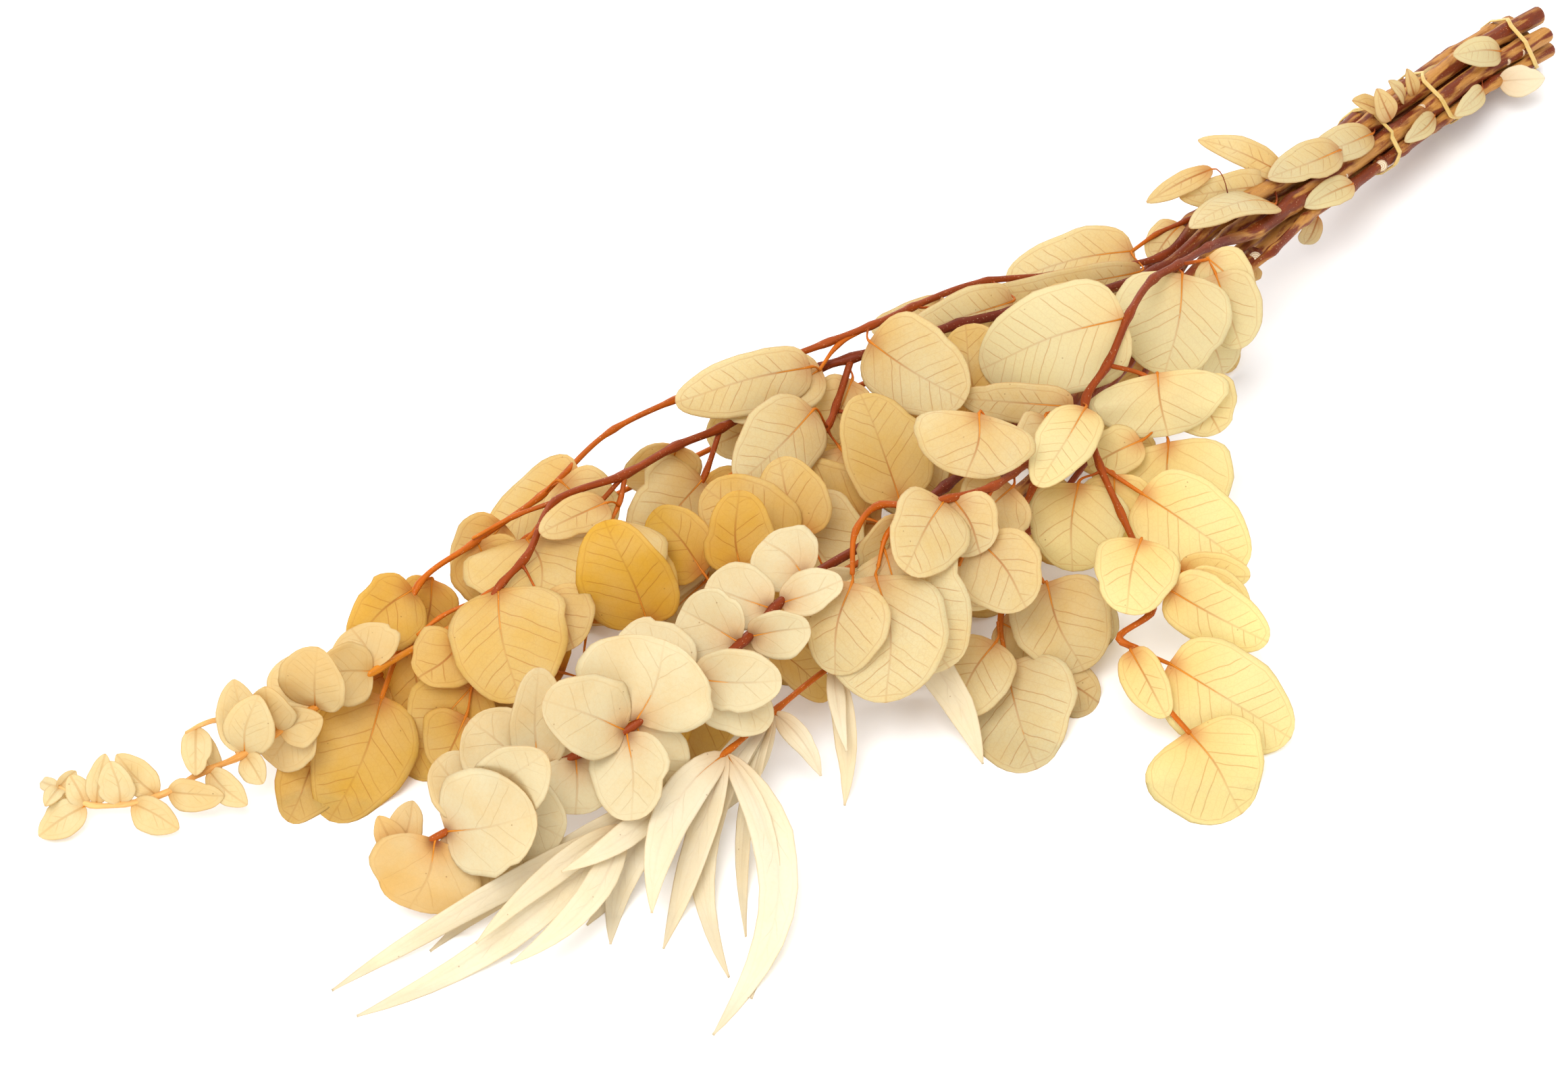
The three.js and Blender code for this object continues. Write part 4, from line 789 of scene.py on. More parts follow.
def leaf_finish(name, pale, golden, vein, stain, rank=4.2, slope=0.75, vein_share=0.6, through=0.38):
    """A bleached leaf. A value per leaf and slow clouds set it between pale and golden; that value is partly
    the leaf's own colour and partly painted shade, the warm gold of light through stacked leaves. Thin side
    veins leave the midrib at a slope, one rank every few mm, and end at one more vein that follows the edge;
    between them is a faint net. The base has stains, each with its colour, reach and strength, stronger on
    more golden leaves, the rim is darker, and the skin has small brown specks. A share of the light goes
    through the blade."""
    f = Finish(name)
    place, edge, tone_and_shade = f.value("place", "Vector"), f.value("edge"), f.value("tone_and_shade")
    x, y, _ = f.step("SeparateXYZ", {0: place}).outputs
    aside = f.sum("ABSOLUTE", x)
    slow, cloud, fine = f.noise(place, 0.09, 2), f.noise(place, 0.055, 3), f.noise(place, 0.8, 3, 0.6)
    # Partly painted shade: the per-leaf value brings the warm gold of light through stacked leaves, on top
    # of the leaf's own colour and slow clouds.
    gilt_and_shade = f.plus(tone_and_shade, f.times(f.less(cloud, 0.5), 0.8))
    colour = f.blend(gilt_and_shade, pale, golden)
    colour = f.blend(f.ease(fine, 0.35, 0.75, 0, 0.1), colour, golden)
    # The stains grow with the leaf's golden value, so partly with its painted shade.
    for shade, reach, strength in stain:
        spread = f.times(f.ease(y, reach, 0), f.ease(aside, reach * 0.8, 0, 0, strength))
        colour = f.blend(f.times(spread, f.ease(gilt_and_shade, 0, 1, 0.7, 1.2)), colour, shade)
    side = f.times(f.sum("GREATER_THAN", x, 0), 0.43)
    bent = f.times(f.less(slow, 0.5), 0.7)
    ranks = f.plus(f.sum("DIVIDE", f.less(y, f.times(aside, slope)), rank), f.plus(bent, side))
    off = f.times(f.sum("ABSOLUTE", f.less(f.sum("FRACT", ranks), 0.5)), rank)
    own = f.step("TexWhiteNoise", {"W": f.sum("FLOOR", ranks)}, noise_dimensions="1D").outputs["Value"]
    veins = f.times(f.ease(off, 0.3, 0.06), f.ease(own, 0, 1, 0.15, 0.8))
    veins = f.times(veins, f.ease(edge, 1.5, 4, 0, 1))
    follow = f.ease(f.sum("ABSOLUTE", f.less(edge, f.plus(f.times(slow, 1.6), 1.2))), 0.26, 0.06, 0, 0.4)
    middle = f.times(f.ease(aside, 0.5, 0.12), f.ease(y, 26, 3, 0.35, 1.3))
    lines = f.sum("MAXIMUM", f.sum("MAXIMUM", veins, follow), middle)
    net = f.step("TexVoronoi", {"Vector": place, "Scale": 0.7}, feature="DISTANCE_TO_EDGE")
    lines = f.sum("MAXIMUM", lines, f.ease(net.outputs["Distance"], 0.06, 0.01, 0, 0.16))
    colour = f.blend(f.times(lines, vein_share), colour, vein)
    speck = f.step("TexVoronoi", {"Vector": place, "Scale": 0.3, "Randomness": 1.0})
    rare = f.step("TexWhiteNoise", {"Vector": speck.outputs["Color"]}).outputs["Value"]
    dots = f.times(f.ease(speck.outputs["Distance"], 0.1, 0.05), f.ease(rare, 0.86, 0.9, 0, 0.5))
    colour = f.blend(dots, colour, "#8a5526")
    colour = f.blend(f.ease(edge, 0.45, 0.0, 0, 0.35), colour, vein)
    relief = f.plus(f.times(lines, -0.5), f.times(fine, 0.5))
    normal = f.bump(relief, 0.0002, 0.8)
    skin = f.skin(Base_Color=colour, Roughness=0.55, Specular_IOR_Level=0.3, Normal=normal)
    lit_through = f.step("BsdfTranslucent", {"Color": f.blend(0.25, colour, golden), "Normal": normal})
    both = f.step("MixShader", {0: through, 1: skin, 2: lit_through.outputs[0]})
    return f.surface(both.outputs[0])


dollar_finish = leaf_finish(
    "bleached_leaf", "#e3d8ac", "#dfb53c", "#b4661e",
    (("#dcaa40", 26, 0.45), ("#b86218", 9, 0.65)), through=0.48,
)


def read_out(items, key):
    """The places of a mesh's corners or faces."""
    flat = np.empty(len(items) * 3, np.float32)
    items.foreach_get(key, flat)
    return flat.reshape(-1, 3) / MM - SHIFT


def stem_corners(name):
    """The corners of a stem's solid, ready to be looked up."""
    points = read_out(frame["nodes"][name].data.vertices, "co")
    tree = KDTree(len(points))
    for i, p in enumerate(points):
        tree.insert(p, i)
    tree.balance()
    return tree


def grow_stem(
    name, seed, thick, thin, wood, twigs, leaves, finish, slot, gilt_and_shade, sessile=False, rib=RIB, young=YOUNG,
):
    """A leafy stem as two pieces: its leaves, and its wood with its twigs, stalks and midribs."""
    dice = np.random.default_rng(seed)
    rods, joints = lay_out_wood(name, thick, thin, wood, twigs, young)
    corners = stem_corners(name)
    bark_shells = [rod_shell(*rod, dice, sawn=i == 0) for i, rod in enumerate(rods)]
    blades = []
    for kind, rows in leaves.items():
        for row in rows:
            leaf = as_built(leaf_ways(joints, row, kind, sessile), kind, corners)
            if leaf is None:
                continue
            whim = whims(dice, leaf["width"][0], painted_shade_and_tone(leaf, dice, *gilt_and_shade))
            blades.append(blade_shell(leaf, whim))
            small = min(1.0, leaf["width"][0] / FULL_GROWN)
            bark_shells.append(stalk_shell(leaf, whim, STALK * small, rib * small, dice))
    dress(joined_mesh(name + "_leaves", blades, finish), slot, name)
    dress(joined_mesh(name + "_twigs", bark_shells, bark_finish), "bark", name)


# ------------------------------------------------------------------ the stem of the upper outline
# It makes the upper edge of the bunch, and has a side branch of leaves over the neck. Its leaves are round
# to oval and bleached cream, and hang on slender stalks.
# WOOD: places (right, down, height) of the stem beyond the bundle.
# TWIGS: how much nearer to the viewer the end is than the start, the radius, the route in the view.
# LEAVES: by kind, the base and the tip in the view, the width there, how much nearer the tip is than the
# base, the roll about the length in degrees and, where it bends sideways, the bow over the length.
WOOD = [
    (1720, 380, 44), (1640, 398, 43), (1560, 408, 44), (1462, 416, 51), (1350, 455, 60),
    (1290, 482, 65), (1226, 507, 63), (1110, 550, 58), (999, 592, 56), (908, 636, 54),
    (800, 735, 51), (700, 805, 49), (619, 867, 45), (593, 952, 34), (565, 1034, 26),
]
TWIGS = [
    (15, 1, [(1820, 330), (1755, 328), (1712, 347), (1676, 372)]),
    (9, 0.85, [(1290, 482), (1240, 512), (1213, 548)]),
    (3, 0.85, [(593, 952), (555, 985), (518, 1014), (495, 1035)]),
    (5, 0.85, [(619, 867), (603, 885), (604, 920), (609, 955)]),
]
LEAVES = {
    "dollar": [
        (1672, 370, 1490, 418, 108, 5, 8), (1700, 337, 1592, 363, 78, 2, -25),
        (1765, 330, 1706, 388, 70, -4, 16), (1690, 402, 1445, 438, 60, -4, -30),
        (1287, 505, 1430, 594, 142, 8, 8), (1211, 547, 1074, 614, 98, 5, 8),
        (1201, 543, 1000, 596, 96, 1, -8), (1405, 452, 1290, 494, 64, -4, -20),
        (858, 697, 708, 845, 140, -9, 6), (609, 957, 642, 1094, 112, -8, 8),
        (565, 1035, 492, 1213, 156, -8, 0), (482, 1090, 432, 1213, 120, -9, -10),
        (601, 960, 546, 898, 100, -8, 6), (640, 858, 628, 938, 96, -8, 12),
        (1500, 446, 1340, 496, 84, -1, -16),
    ],
    "plain": [
        (1110, 575, 1135, 690, 122, -10, 8), (830, 712, 902, 790, 118, -12, -14),
        (700, 812, 762, 888, 124, -12, 8), (612, 872, 520, 955, 110, -12, -10),
        (565, 1000, 470, 1075, 120, -12, 6), (745, 775, 690, 872, 112, -14, 10),
    ],
    "oval": [
        (2282, 38, 2214, 32, 20, 3, 30),
    ],
}
# The last pair is how golden the leaves are at the right of the view and at the left; the rise to the left
# is painted shade, the warm gold of light through stacked leaves.
grow_stem("leafy_stem_top", 11, 1.3, 0.85, WOOD, TWIGS, LEAVES, dollar_finish, "leaf", (0.1, 0.7))

# ------------------------------------------------------------------ the dark red stem
# It runs through the middle of the bunch, with a second branch to the front. Its bark is dark red, and its
# leaves are like those of the stem above, with a few curled ones at the neck.
WOOD = [
    (1710, 402, 50), (1600, 440, 51), (1500, 462, 54), (1420, 480, 58), (1345, 505, 60),
    (1261, 530, 58), (1212, 545, 55), (1140, 590, 47), (1067, 634, 54), (1000, 661, 58),
    (926, 702, 60), (823, 742, 59), (775, 830, 56), (742, 865, 53), (700, 930, 45), (680, 953, 42),
]
TWIGS = [
    (40, 1.2, [
        (1261, 530), (1238, 601), (1227, 629), (1197, 661), (1163, 688), (1117, 712), (1095, 750),
        (1040, 810),
    ]),
    (6, 0.95, [(1067, 634), (1045, 700), (1010, 770), (983, 814), (955, 838)]),
    (3, 0.85, [(926, 702), (870, 760), (776, 798), (748, 830)]),
    (3, 0.85, [(926, 702), (918, 742), (905, 772)]),
    (2, 0.85, [(823, 742), (760, 765), (700, 797)]),
    (2, 0.85, [(823, 742), (797, 780), (780, 800)]),
    (2, 0.75, [(742, 865), (720, 880), (650, 915), (618, 940)]),
    (3, 0.85, [(742, 865), (728, 947), (700, 1016)]),
    (2, 0.75, [(728, 947), (690, 985), (660, 1002)]),
]
LEAVES = {
    "dollar": [
        (1243, 662, 1262, 748, 193, 4, 4), (1205, 606, 1094, 716, 123, 1, -8),
        (1352, 620, 1257, 652, 98, -3, -20), (1350, 648, 1342, 756, 119, -7, 8),
        (1183, 738, 1250, 862, 146, 2, 10), (1130, 722, 1046, 844, 70, 4, 20),
        (1078, 762, 1010, 800, 53, 3, -20), (1037, 818, 850, 914, 104, 5, 4),
        (1043, 862, 956, 960, 89, -1, 12), (1050, 699, 944, 824, 156, -8, -6),
        (905, 777, 882, 884, 186, -8, 6), (898, 744, 800, 790, 66, -8, 20),
        (778, 803, 798, 908, 206, -8, -4), (745, 870, 770, 1038, 184, -8, 0),
        (688, 948, 620, 1004, 108, -8, 14), (697, 1020, 603, 1150, 140, -8, -8),
        (1120, 778, 1190, 852, 104, -7, -12),
    ],
    "plain": [
        (690, 1060, 652, 1140, 104, -12, 10), (1000, 668, 955, 730, 112, -12, 8),
        (1340, 520, 1420, 612, 131, -12, 10), (1145, 602, 1052, 662, 112, -12, 0),
        (800, 880, 850, 960, 128, -12, 6), (1262, 562, 1218, 654, 92, -14, 8),
    ],
    "curled": [
        (1905, 262, 1774, 206, 54, 4, 26), (1890, 280, 1748, 292, 64, 5, -8),
        (1886, 302, 1762, 338, 76, 3, 12),
    ],
    "oval": [
        (1795, 250, 1698, 300, 36, 3, 10), (2032, 198, 1930, 237, 57, 3, 8),
        (2046, 166, 2003, 149, 34, 5, 10), (2060, 178, 2038, 131, 36, 1, -16),
        (2080, 150, 2056, 120, 25, 1, 16), (2094, 142, 2083, 102, 23, 0, 0),
        (2150, 104, 2096, 120, 28, 3, 10), (1985, 222, 1878, 264, 64, 1, 10),
    ],
}
# Here too the leaves to the left are made more golden, as painted shade.
grow_stem("leafy_stem_dark_red", 12, 1.8, 0.95, WOOD, TWIGS, LEAVES, dollar_finish, "leaf", (0.15, 0.8))

# ------------------------------------------------------------------ the stem over the neck
# Large pale leaves lie on top of the bunch, and others hang down on the right. They are a yellower cream,
# partly as their own colour and partly as painted light: the yellow of light coming through them, more
# of it lower down in the view.
WOOD = [
    (1789, 366, 62), (1745, 392, 70), (1708, 413, 75), (1672, 466, 76), (1640, 540, 66),
    (1608, 590, 61), (1616, 650, 57), (1629, 690, 54), (1660, 760, 47), (1690, 830, 40),
    (1706, 905, 34), (1658, 947, 30), (1690, 965, 27), (1719, 1034, 18), (1762, 1086, 12),
]
TWIGS = [
    (3, 0.85, [(1690, 965), (1735, 984)]),
    (4, 0.85, [(1629, 690), (1693, 732)]),
    (2, 0.85, [(1640, 540), (1700, 560), (1722, 632)]),
    (-4, 0.8, [(1745, 392), (1790, 384)]),
]
LEAVES = {
    "dollar": [
        (1667, 463, 1450, 548, 172, 4, -4), (1751, 405, 1724, 556, 180, 3, 4),
        (1792, 392, 1850, 448, 86, 0, 8), (1800, 405, 1838, 516, 103, -4, 8),
        (1714, 552, 1730, 646, 207, 1, 6), (1770, 565, 1806, 640, 108, -5, -8),
        (1730, 654, 1756, 790, 180, -2, 4), (1715, 592, 1622, 634, 79, -5, -14),
        (1690, 652, 1612, 692, 75, -4, 14), (1608, 603, 1536, 722, 90, 7, 18),
        (1686, 735, 1846, 838, 146, 5, -4), (1745, 845, 1852, 854, 68, -3, 22),
        (1730, 872, 1877, 950, 103, 0, 8), (1716, 910, 1800, 985, 108, 3, -6),
        (1730, 984, 1910, 1092, 160, 3, 0), (1762, 1087, 1834, 1202, 186, 2, 2),
        (1674, 962, 1728, 1062, 70, -2, 18), (1597, 715, 1588, 846, 150, 3, 6),
        (1650, 702, 1656, 852, 123, -1, 8), (1690, 798, 1668, 908, 128, 2, 6),
    ],
    "plain": [
        (1756, 858, 1848, 905, 84, -7, 8), (1765, 470, 1812, 556, 106, -8, 0),
    ],
    "oval": [
        (2125, 172, 2080, 210, 33, 1, -14), (2222, 76, 2150, 82, 48, 6, 0),
        (2196, 132, 2152, 172, 34, 5, -14), (2004, 272, 1932, 306, 44, 1, 6),
    ],
}
# Partly painted light: the second colour stands for the yellow of light coming through the leaves.
yellow_finish = leaf_finish(
    "yellow_leaf", "#e2d7ac", "#eddfa0", "#c07826",
    (("#e2b650", 26, 0.4), ("#c8701e", 8, 0.6)), through=0.46,
)
# Painted light: lower in the view the leaves turn to that second colour.
gilt_and_shade = (0.9, 0, (520, 740), 1)
grow_stem("leafy_stem_right", 13, 1.4, 0.85, WOOD, TWIGS, LEAVES, yellow_finish, "leaf", gilt_and_shade)

# ------------------------------------------------------------------ the stem of the front cluster
# It lies lower than the others and carries the leaves nearest to the viewer. Its twigs end in pairs of
# large leaves that hang at the front.
WOOD = [
    (1735, 460, 42), (1670, 540, 46), (1600, 620, 51), (1545, 670, 57), (1500, 700, 65),
    (1471, 720, 70), (1405, 738, 73), (1348, 748, 74), (1301, 748, 74), (1268, 784, 72),
    (1262, 850, 66),
]
TWIGS = [
    (5, 0.85, [(1348, 748), (1312, 794), (1300, 840)]),
    (5, 0.85, [(1405, 738), (1362, 790), (1354, 818)]),
    (5, 0.85, [(1471, 720), (1445, 770), (1420, 837)]),
    (9, 1.1, [(1545, 670), (1530, 720), (1504, 792), (1514, 834), (1482, 913), (1491, 985)]),
    (4, 0.85, [(1504, 792), (1530, 838), (1556, 878)]),
]
LEAVES = {
    "dollar": [
        (1297, 852, 1312, 1040, 199, 4, 2), (1262, 862, 1236, 1000, 130, -10, 10),
        (1310, 815, 1406, 990, 186, 2, 6), (1440, 780, 1436, 905, 168, -10, 8),
        (1405, 748, 1340, 846, 127, -9, 8), (1450, 612, 1430, 707, 184, 8, 4),
        (1590, 602, 1420, 588, 67, -6, -20), (1548, 616, 1532, 700, 86, -5, 12),
        (1550, 862, 1606, 994, 156, 2, -4), (1553, 1000, 1627, 1040, 91, -3, -14),
        (1493, 985, 1532, 1136, 186, 4, 0), (1485, 915, 1560, 966, 91, 1, 12),
        (1475, 950, 1412, 1060, 112, -5, 8),
    ],
    "plain": [
        (1556, 882, 1640, 960, 119, -6, 12), (1450, 800, 1520, 900, 130, -8, 6),
        (1340, 760, 1290, 860, 121, -7, -6), (1500, 720, 1440, 790, 119, -8, 6),
        (1400, 745, 1452, 820, 110, -14, -8),
    ],
    "oval": [
        (1952, 322, 1930, 364, 32, 0, 0), (1862, 376, 1846, 420, 43, -2, 10),
    ],
}
grow_stem("leafy_stem_front", 14, 1.5, 0.85, WOOD, TWIGS, LEAVES, dollar_finish, "leaf", (0.1, 0.1))

# ------------------------------------------------------------------ the round-leaved stem
# Its leaves are paler and cupped, and sit in pairs straight on the stem, dark red where they meet it.
WOOD = [
    (1700, 470, 34), (1540, 600, 44), (1400, 720, 52), (1290, 800, 57), (1200, 855, 61),
    (1149, 898, 62), (1102, 948, 60), (1020, 1010, 54), (934, 1077, 47), (860, 1115, 41),
    (790, 1145, 36), (720, 1190, 31), (652, 1236, 27), (590, 1262, 22),
]
LEAVES = {
    "round": [
        (934, 1077, 985, 948, 211, 6, 0), (934, 1077, 803, 1036, 125, 5, 8),
        (934, 1077, 935, 1215, 121, 4, 10), (934, 1077, 1004, 1170, 101, -3, -16),
        (790, 1145, 886, 1060, 168, 6, 0), (790, 1145, 696, 1066, 134, 3, 12),
        (790, 1145, 798, 988, 85, -4, -12), (720, 1190, 806, 1116, 110, 9, 4),
        (720, 1190, 646, 1124, 101, 4, 14), (652, 1236, 792, 1206, 168, 8, 0),
        (720, 1190, 834, 1240, 134, 2, 8), (652, 1236, 606, 1346, 170, 4, -6),
        (652, 1236, 768, 1324, 119, 0, 8), (1020, 1010, 1158, 1008, 101, 4, 14),
        (1020, 1010, 1140, 1074, 94, -1, 8), (1102, 948, 1008, 902, 125, 4, -12),
        (1102, 948, 1200, 928, 83, 2, 26), (1149, 898, 1044, 866, 105, 4, 16),
        (1149, 898, 1248, 860, 72, 1, -26), (1102, 948, 1068, 1046, 108, -5, -8),
        (1020, 1010, 925, 930, 112, -6, 14), (860, 1115, 852, 1206, 116, -4, 8),
        (1200, 855, 1130, 800, 112, -5, 8), (1200, 855, 1270, 940, 123, -6, -8),
    ],
    "oval": [
        (590, 1262, 560, 1208, 45, 2, 0), (590, 1262, 574, 1292, 31, 0, 20),
        (620, 1249, 612, 1186, 56, 0, 10),
    ],
}
round_finish = leaf_finish(
    "bleached_round_leaf", "#ded3ad", "#d8aa48", "#b98542",
    (("#cf8c34", 13, 0.7), ("#74260a", 6, 0.95)), rank=6, slope=1.1, vein_share=0.3,
)
# Painted shade: the leaves at the left of the view are made more golden, for the warm gold of light through
# stacked leaves.
gilt_and_shade = (0.05, 0.55, (620, 740))
grow_stem("round_leaved_stem", 15, 1.7, 0.8, WOOD, (), LEAVES, round_finish, "round_leaf", gilt_and_shade, True)

# ------------------------------------------------------------------ the willow-leaved stem
# It lies under the front of the bunch. Its leaves are long and narrow, bleached almost white, and spread
# from the stem like ribbons, without stalks.
WOOD = [
    (1750, 480, 34), (1640, 640, 33), (1540, 770, 31), (1430, 870, 33), (1330, 930, 34),
    (1240, 980, 33), (1150, 1050, 31), (1080, 1110, 29), (1000, 1170, 25), (920, 1225, 21),
]
LEAVES = {
    "ribbon": [
        (920, 1225, 497, 1466, 45, 0, 8, -0.05), (920, 1225, 530, 1500, 47, -4, -12, 0.06),
        (920, 1225, 705, 1397, 40, 3, 20, -0.06), (920, 1225, 757, 1425, 45, 5, 0, 0.1),
        (920, 1225, 838, 1312, 34, 1, 10, 0.05), (1000, 1170, 906, 1393, 56, 3, 14, -0.08),
        (1000, 1170, 832, 1290, 40, -3, 0, 0.05), (1000, 1170, 640, 1405, 43, -6, -8, -0.04),
        (1000, 1170, 870, 1365, 40, -6, 10, 0.06), (1080, 1110, 1057, 1528, 63, 4, 0, 0.2),
        (1080, 1110, 985, 1400, 52, -2, 16, 0.04), (1080, 1110, 965, 1352, 63, 2, -8, -0.12),
        (1080, 1110, 1115, 1475, 31, -5, 10, 0.14), (1150, 1050, 1077, 1438, 52, 2, -8, -0.16),
        (1150, 1050, 1105, 1382, 38, -4, 14, -0.04), (1150, 1050, 973, 1226, 45, 8, 0, 0.14),
        (1150, 1050, 1215, 1150, 38, 0, 20, 0.1), (1240, 980, 1250, 1193, 36, 2, 10, 0.06),
        (1240, 980, 1254, 1112, 27, 6, -14, -0.04), (1330, 930, 1455, 1130, 54, -3, 10, 0.06),
        (1150, 1050, 1010, 1320, 47, -8, 0, -0.08),
    ],
    "oval": [
        (2206, 118, 2288, 116, 47, 1, 14),
    ],
}
willow_finish = leaf_finish(
    "bleached_willow_leaf", "#ebe3cb", "#e6cf98", "#c9a878",
    (("#d9a860", 14, 0.6),), rank=9, slope=2.6, vein_share=0.2,
)
grow_stem(
    "willow_leaved_stem", 16, 1.2, 0.8, WOOD, (), LEAVES, willow_finish, "willow_leaf", (0.2, 0.2), True,
    rib=0.35,
)

# ------------------------------------------------------------------ the small-leaved spray
# It makes the far tip of the bunch: small oval leaves without stalks, on a thin stem that is yellow
# towards its end.
WOOD = [
    (1660, 440, 35), (1500, 520, 35), (1250, 620, 34), (1000, 750, 36), (800, 860, 38),
    (660, 935, 38), (560, 990, 38), (460, 1052, 31), (405, 1088, 26), (355, 1120, 21),
    (300, 1143, 17), (240, 1176, 12), (187, 1190, 10), (135, 1192, 9), (88, 1167, 9),
]
TWIGS = [
    (2, 0.75, [(355, 1120), (322, 1066), (298, 1073), (275, 1085)]),
]
LEAVES = {
    "round": [
        (560, 990, 520, 930, 110, 0, 6), (560, 990, 468, 1000, 97, 3, -6),
        (460, 1052, 470, 960, 106, 2, -6), (460, 1052, 416, 978, 97, -4, 12),
        (460, 1052, 400, 1130, 103, -4, 6),
    ],
    "oval": [
        (405, 1088, 478, 1062, 67, 3, 14), (405, 1088, 393, 1016, 76, 1, -8),
        (355, 1120, 382, 1030, 80, 2, 0), (355, 1120, 346, 1006, 69, -4, 14),
        (322, 1066, 362, 998, 60, 0, 10), (322, 1066, 376, 1044, 53, 3, -14),
        (355, 1120, 390, 1160, 48, 2, 20), (298, 1073, 257, 1043, 44, 1, 10),
        (298, 1073, 290, 1148, 48, 2, 0), (298, 1073, 322, 1154, 46, -2, 16),
        (300, 1143, 366, 1192, 48, 2, 10), (240, 1176, 332, 1178, 55, 2, 20),
        (240, 1176, 173, 1117, 53, 1, -8), (187, 1190, 163, 1127, 57, 2, 0),
        (187, 1190, 265, 1227, 57, 1, 12), (135, 1192, 156, 1116, 39, 1, 0),
        (135, 1192, 104, 1148, 41, -1, 10), (135, 1192, 57, 1238, 55, 2, 6),
        (110, 1180, 87, 1222, 30, 0, 10), (88, 1167, 113, 1141, 25, 1, 10),
        (88, 1167, 67, 1194, 28, 1, 0), (88, 1167, 60, 1157, 23, 0, 20),
    ],
}
spray_finish = leaf_finish(
    "bleached_small_leaf", "#dfd1a2", "#dcae4e", "#c08a3c",
    (("#d39c44", 6, 0.7),), rank=3, slope=1.1, vein_share=0.3,
)
# Painted shade: the leaves are a little more golden towards the right, nearer the middle of the bunch.
gilt_and_shade = (0.3, 0.15, (200, 500))
grow_stem(
    "small_leaved_spray", 17, 1.2, 0.8, WOOD, TWIGS, LEAVES, spray_finish, "round_leaf", gilt_and_shade, True,
    rib=0.3, young=0.55,
)

# ------------------------------------------------------------------ the bare woody stem
# A stem without leaves in the middle of the bundle, thick for its whole length. Its end shows in the gap
# under the upper leaves.
WOOD = [
    (1750, 425, 46), (1680, 482, 48), (1600, 575, 44), (1550, 690, 42), (1480, 752, 50),
]
dice = np.random.default_rng(18)
(rod,), _ = lay_out_wood("bare_woody_stem", 2.9, 2.6, WOOD, ())
piece = joined_mesh("bare_woody_stem_bark", [rod_shell(*rod, dice, sawn=True)], bark_finish)
dress(piece, "bark", "bare_woody_stem")

# ------------------------------------------------------------------ the stems inside the bunch
# The two stems that the view hides. Their leaves follow a rule: place, side, slant and size come from
# evenly spread shares, and a leaf that would cross another was given other shares until it stood clear.
# Wherever there is still room in the middle of the bunch, an inner leaf is added.
GOLDEN = 0.61803398875  # its multiples, less their whole parts, are spread evenly over 0 to 1
HIDDEN_TRIES = 12  # the sets of shares tried for a leaf; an inner leaf has more
TURN = (35, 115)  # from the stem's way to the leaf's, in degrees
STALKS, LENGTHS = (35, 95), (115, 175)  # in picture points, as a leaf's width is
SLENDER = 0.88  # a leaf's width over its length
LEANS, ROLL = (-14, 8), (-22, 22)
# Painted shade: the leaves inside the bunch are made golden, the more so to the left, for the warm gold of
# light that reaches them only through other leaves.
SHADE_GILT_ENDS = (850, 1250)
HIDDEN_SHADE_GILT, INNER_SHADE_GILT = (0.5, 1, SHADE_GILT_ENDS), (0.4, 0.95, SHADE_GILT_ENDS)
INNER_WAVE = 0.4  # how much an inner leaf waves, over another of its width
INNER_STALK, INNER_RIB = 0.5, 0.35


def between(ends, n):
    return ends[0] + (ends[1] - ends[0]) * (n * GOLDEN % 1)


def hidden_row(joints, i, count, attempt):
    """The i-th hidden leaf as if read from the view: left or right of its stem in turn, at a slant."""
    places = joints["uv"][len(BUNDLE):]
    k = int(np.floor((i + 0.5) / count * (len(places) - 1) + 0.5))
    run = np.arctan2(*(places[min(k + 1, len(places) - 1)] - places[max(k - 1, 0)])[::-1])
    turn = run + np.radians(between(TURN, 11 * i + 5 * attempt)) * (1 if i % 2 else -1)
    way = np.array((np.cos(turn), np.sin(turn)))
    length = between(LENGTHS, 19 * i + 2 * attempt)
    base = places[k] + way * between(STALKS, 17 * i + attempt)
    lean, roll = between(LEANS, 7 * i + 3 * attempt), between(ROLL, 13 * i + attempt)
    return (*base, *(base + way * length), SLENDER * length, lean, roll)


MIDDLE = np.array((  # corners of the bunch's middle in the view, which the inner leaves keep within
    (1700, 400), (1100, 570), (800, 745), (560, 960), (600, 1180),
    (850, 1230), (1550, 1080), (1840, 900), (1840, 420),
))
BACK_BY = -4  # the tip of an inner leaf is farther from the viewer than its stalk's start by more than this
CELL = 1.5  # the edge of the small cubes of space that are marked as taken
TAKEN = np.zeros((500, 200, 80), bool)
CORNER = np.array((-375, -150, -10))  # where the first of the cubes is in the frame


def cells_of(points):
    return tuple(np.clip(((points + SHIFT - CORNER) / CELL).astype(int), 1, np.array(TAKEN.shape) - 2).T)


def take_room(points):
    """Marks the small cubes that hold the points, and their neighbours, as taken."""
    x, y, z = cells_of(points)
    for i, j, k in np.ndindex(3, 3, 3):
        TAKEN[x + i - 1, y + j - 1, z + k - 1] = True


def take_room_of(piece):
    """Marks where a piece has its corners and the middles of its faces."""
    take_room(read_out(piece.data.vertices, "co"))
    take_room(read_out(piece.data.polygons, "center"))


def free(points):
    """Whether each set of points is clear of all that is there, over the table and in the bunch's middle:
    on the inner side of each of its edges, by the sign of the cross product."""
    off = pictured(points)[..., None, :] - MIDDLE
    edge = np.roll(MIDDLE, -1, axis=0) - MIDDLE
    within = (edge[:, 0] * off[..., 1] - edge[:, 1] * off[..., 0] < 0).all((-1, -2))
    clear = ~TAKEN[cells_of(points.reshape(-1, 3))].reshape(points.shape[:-1]).any(-1)
    return within & clear & (points[..., 2].min(-1) > 1)


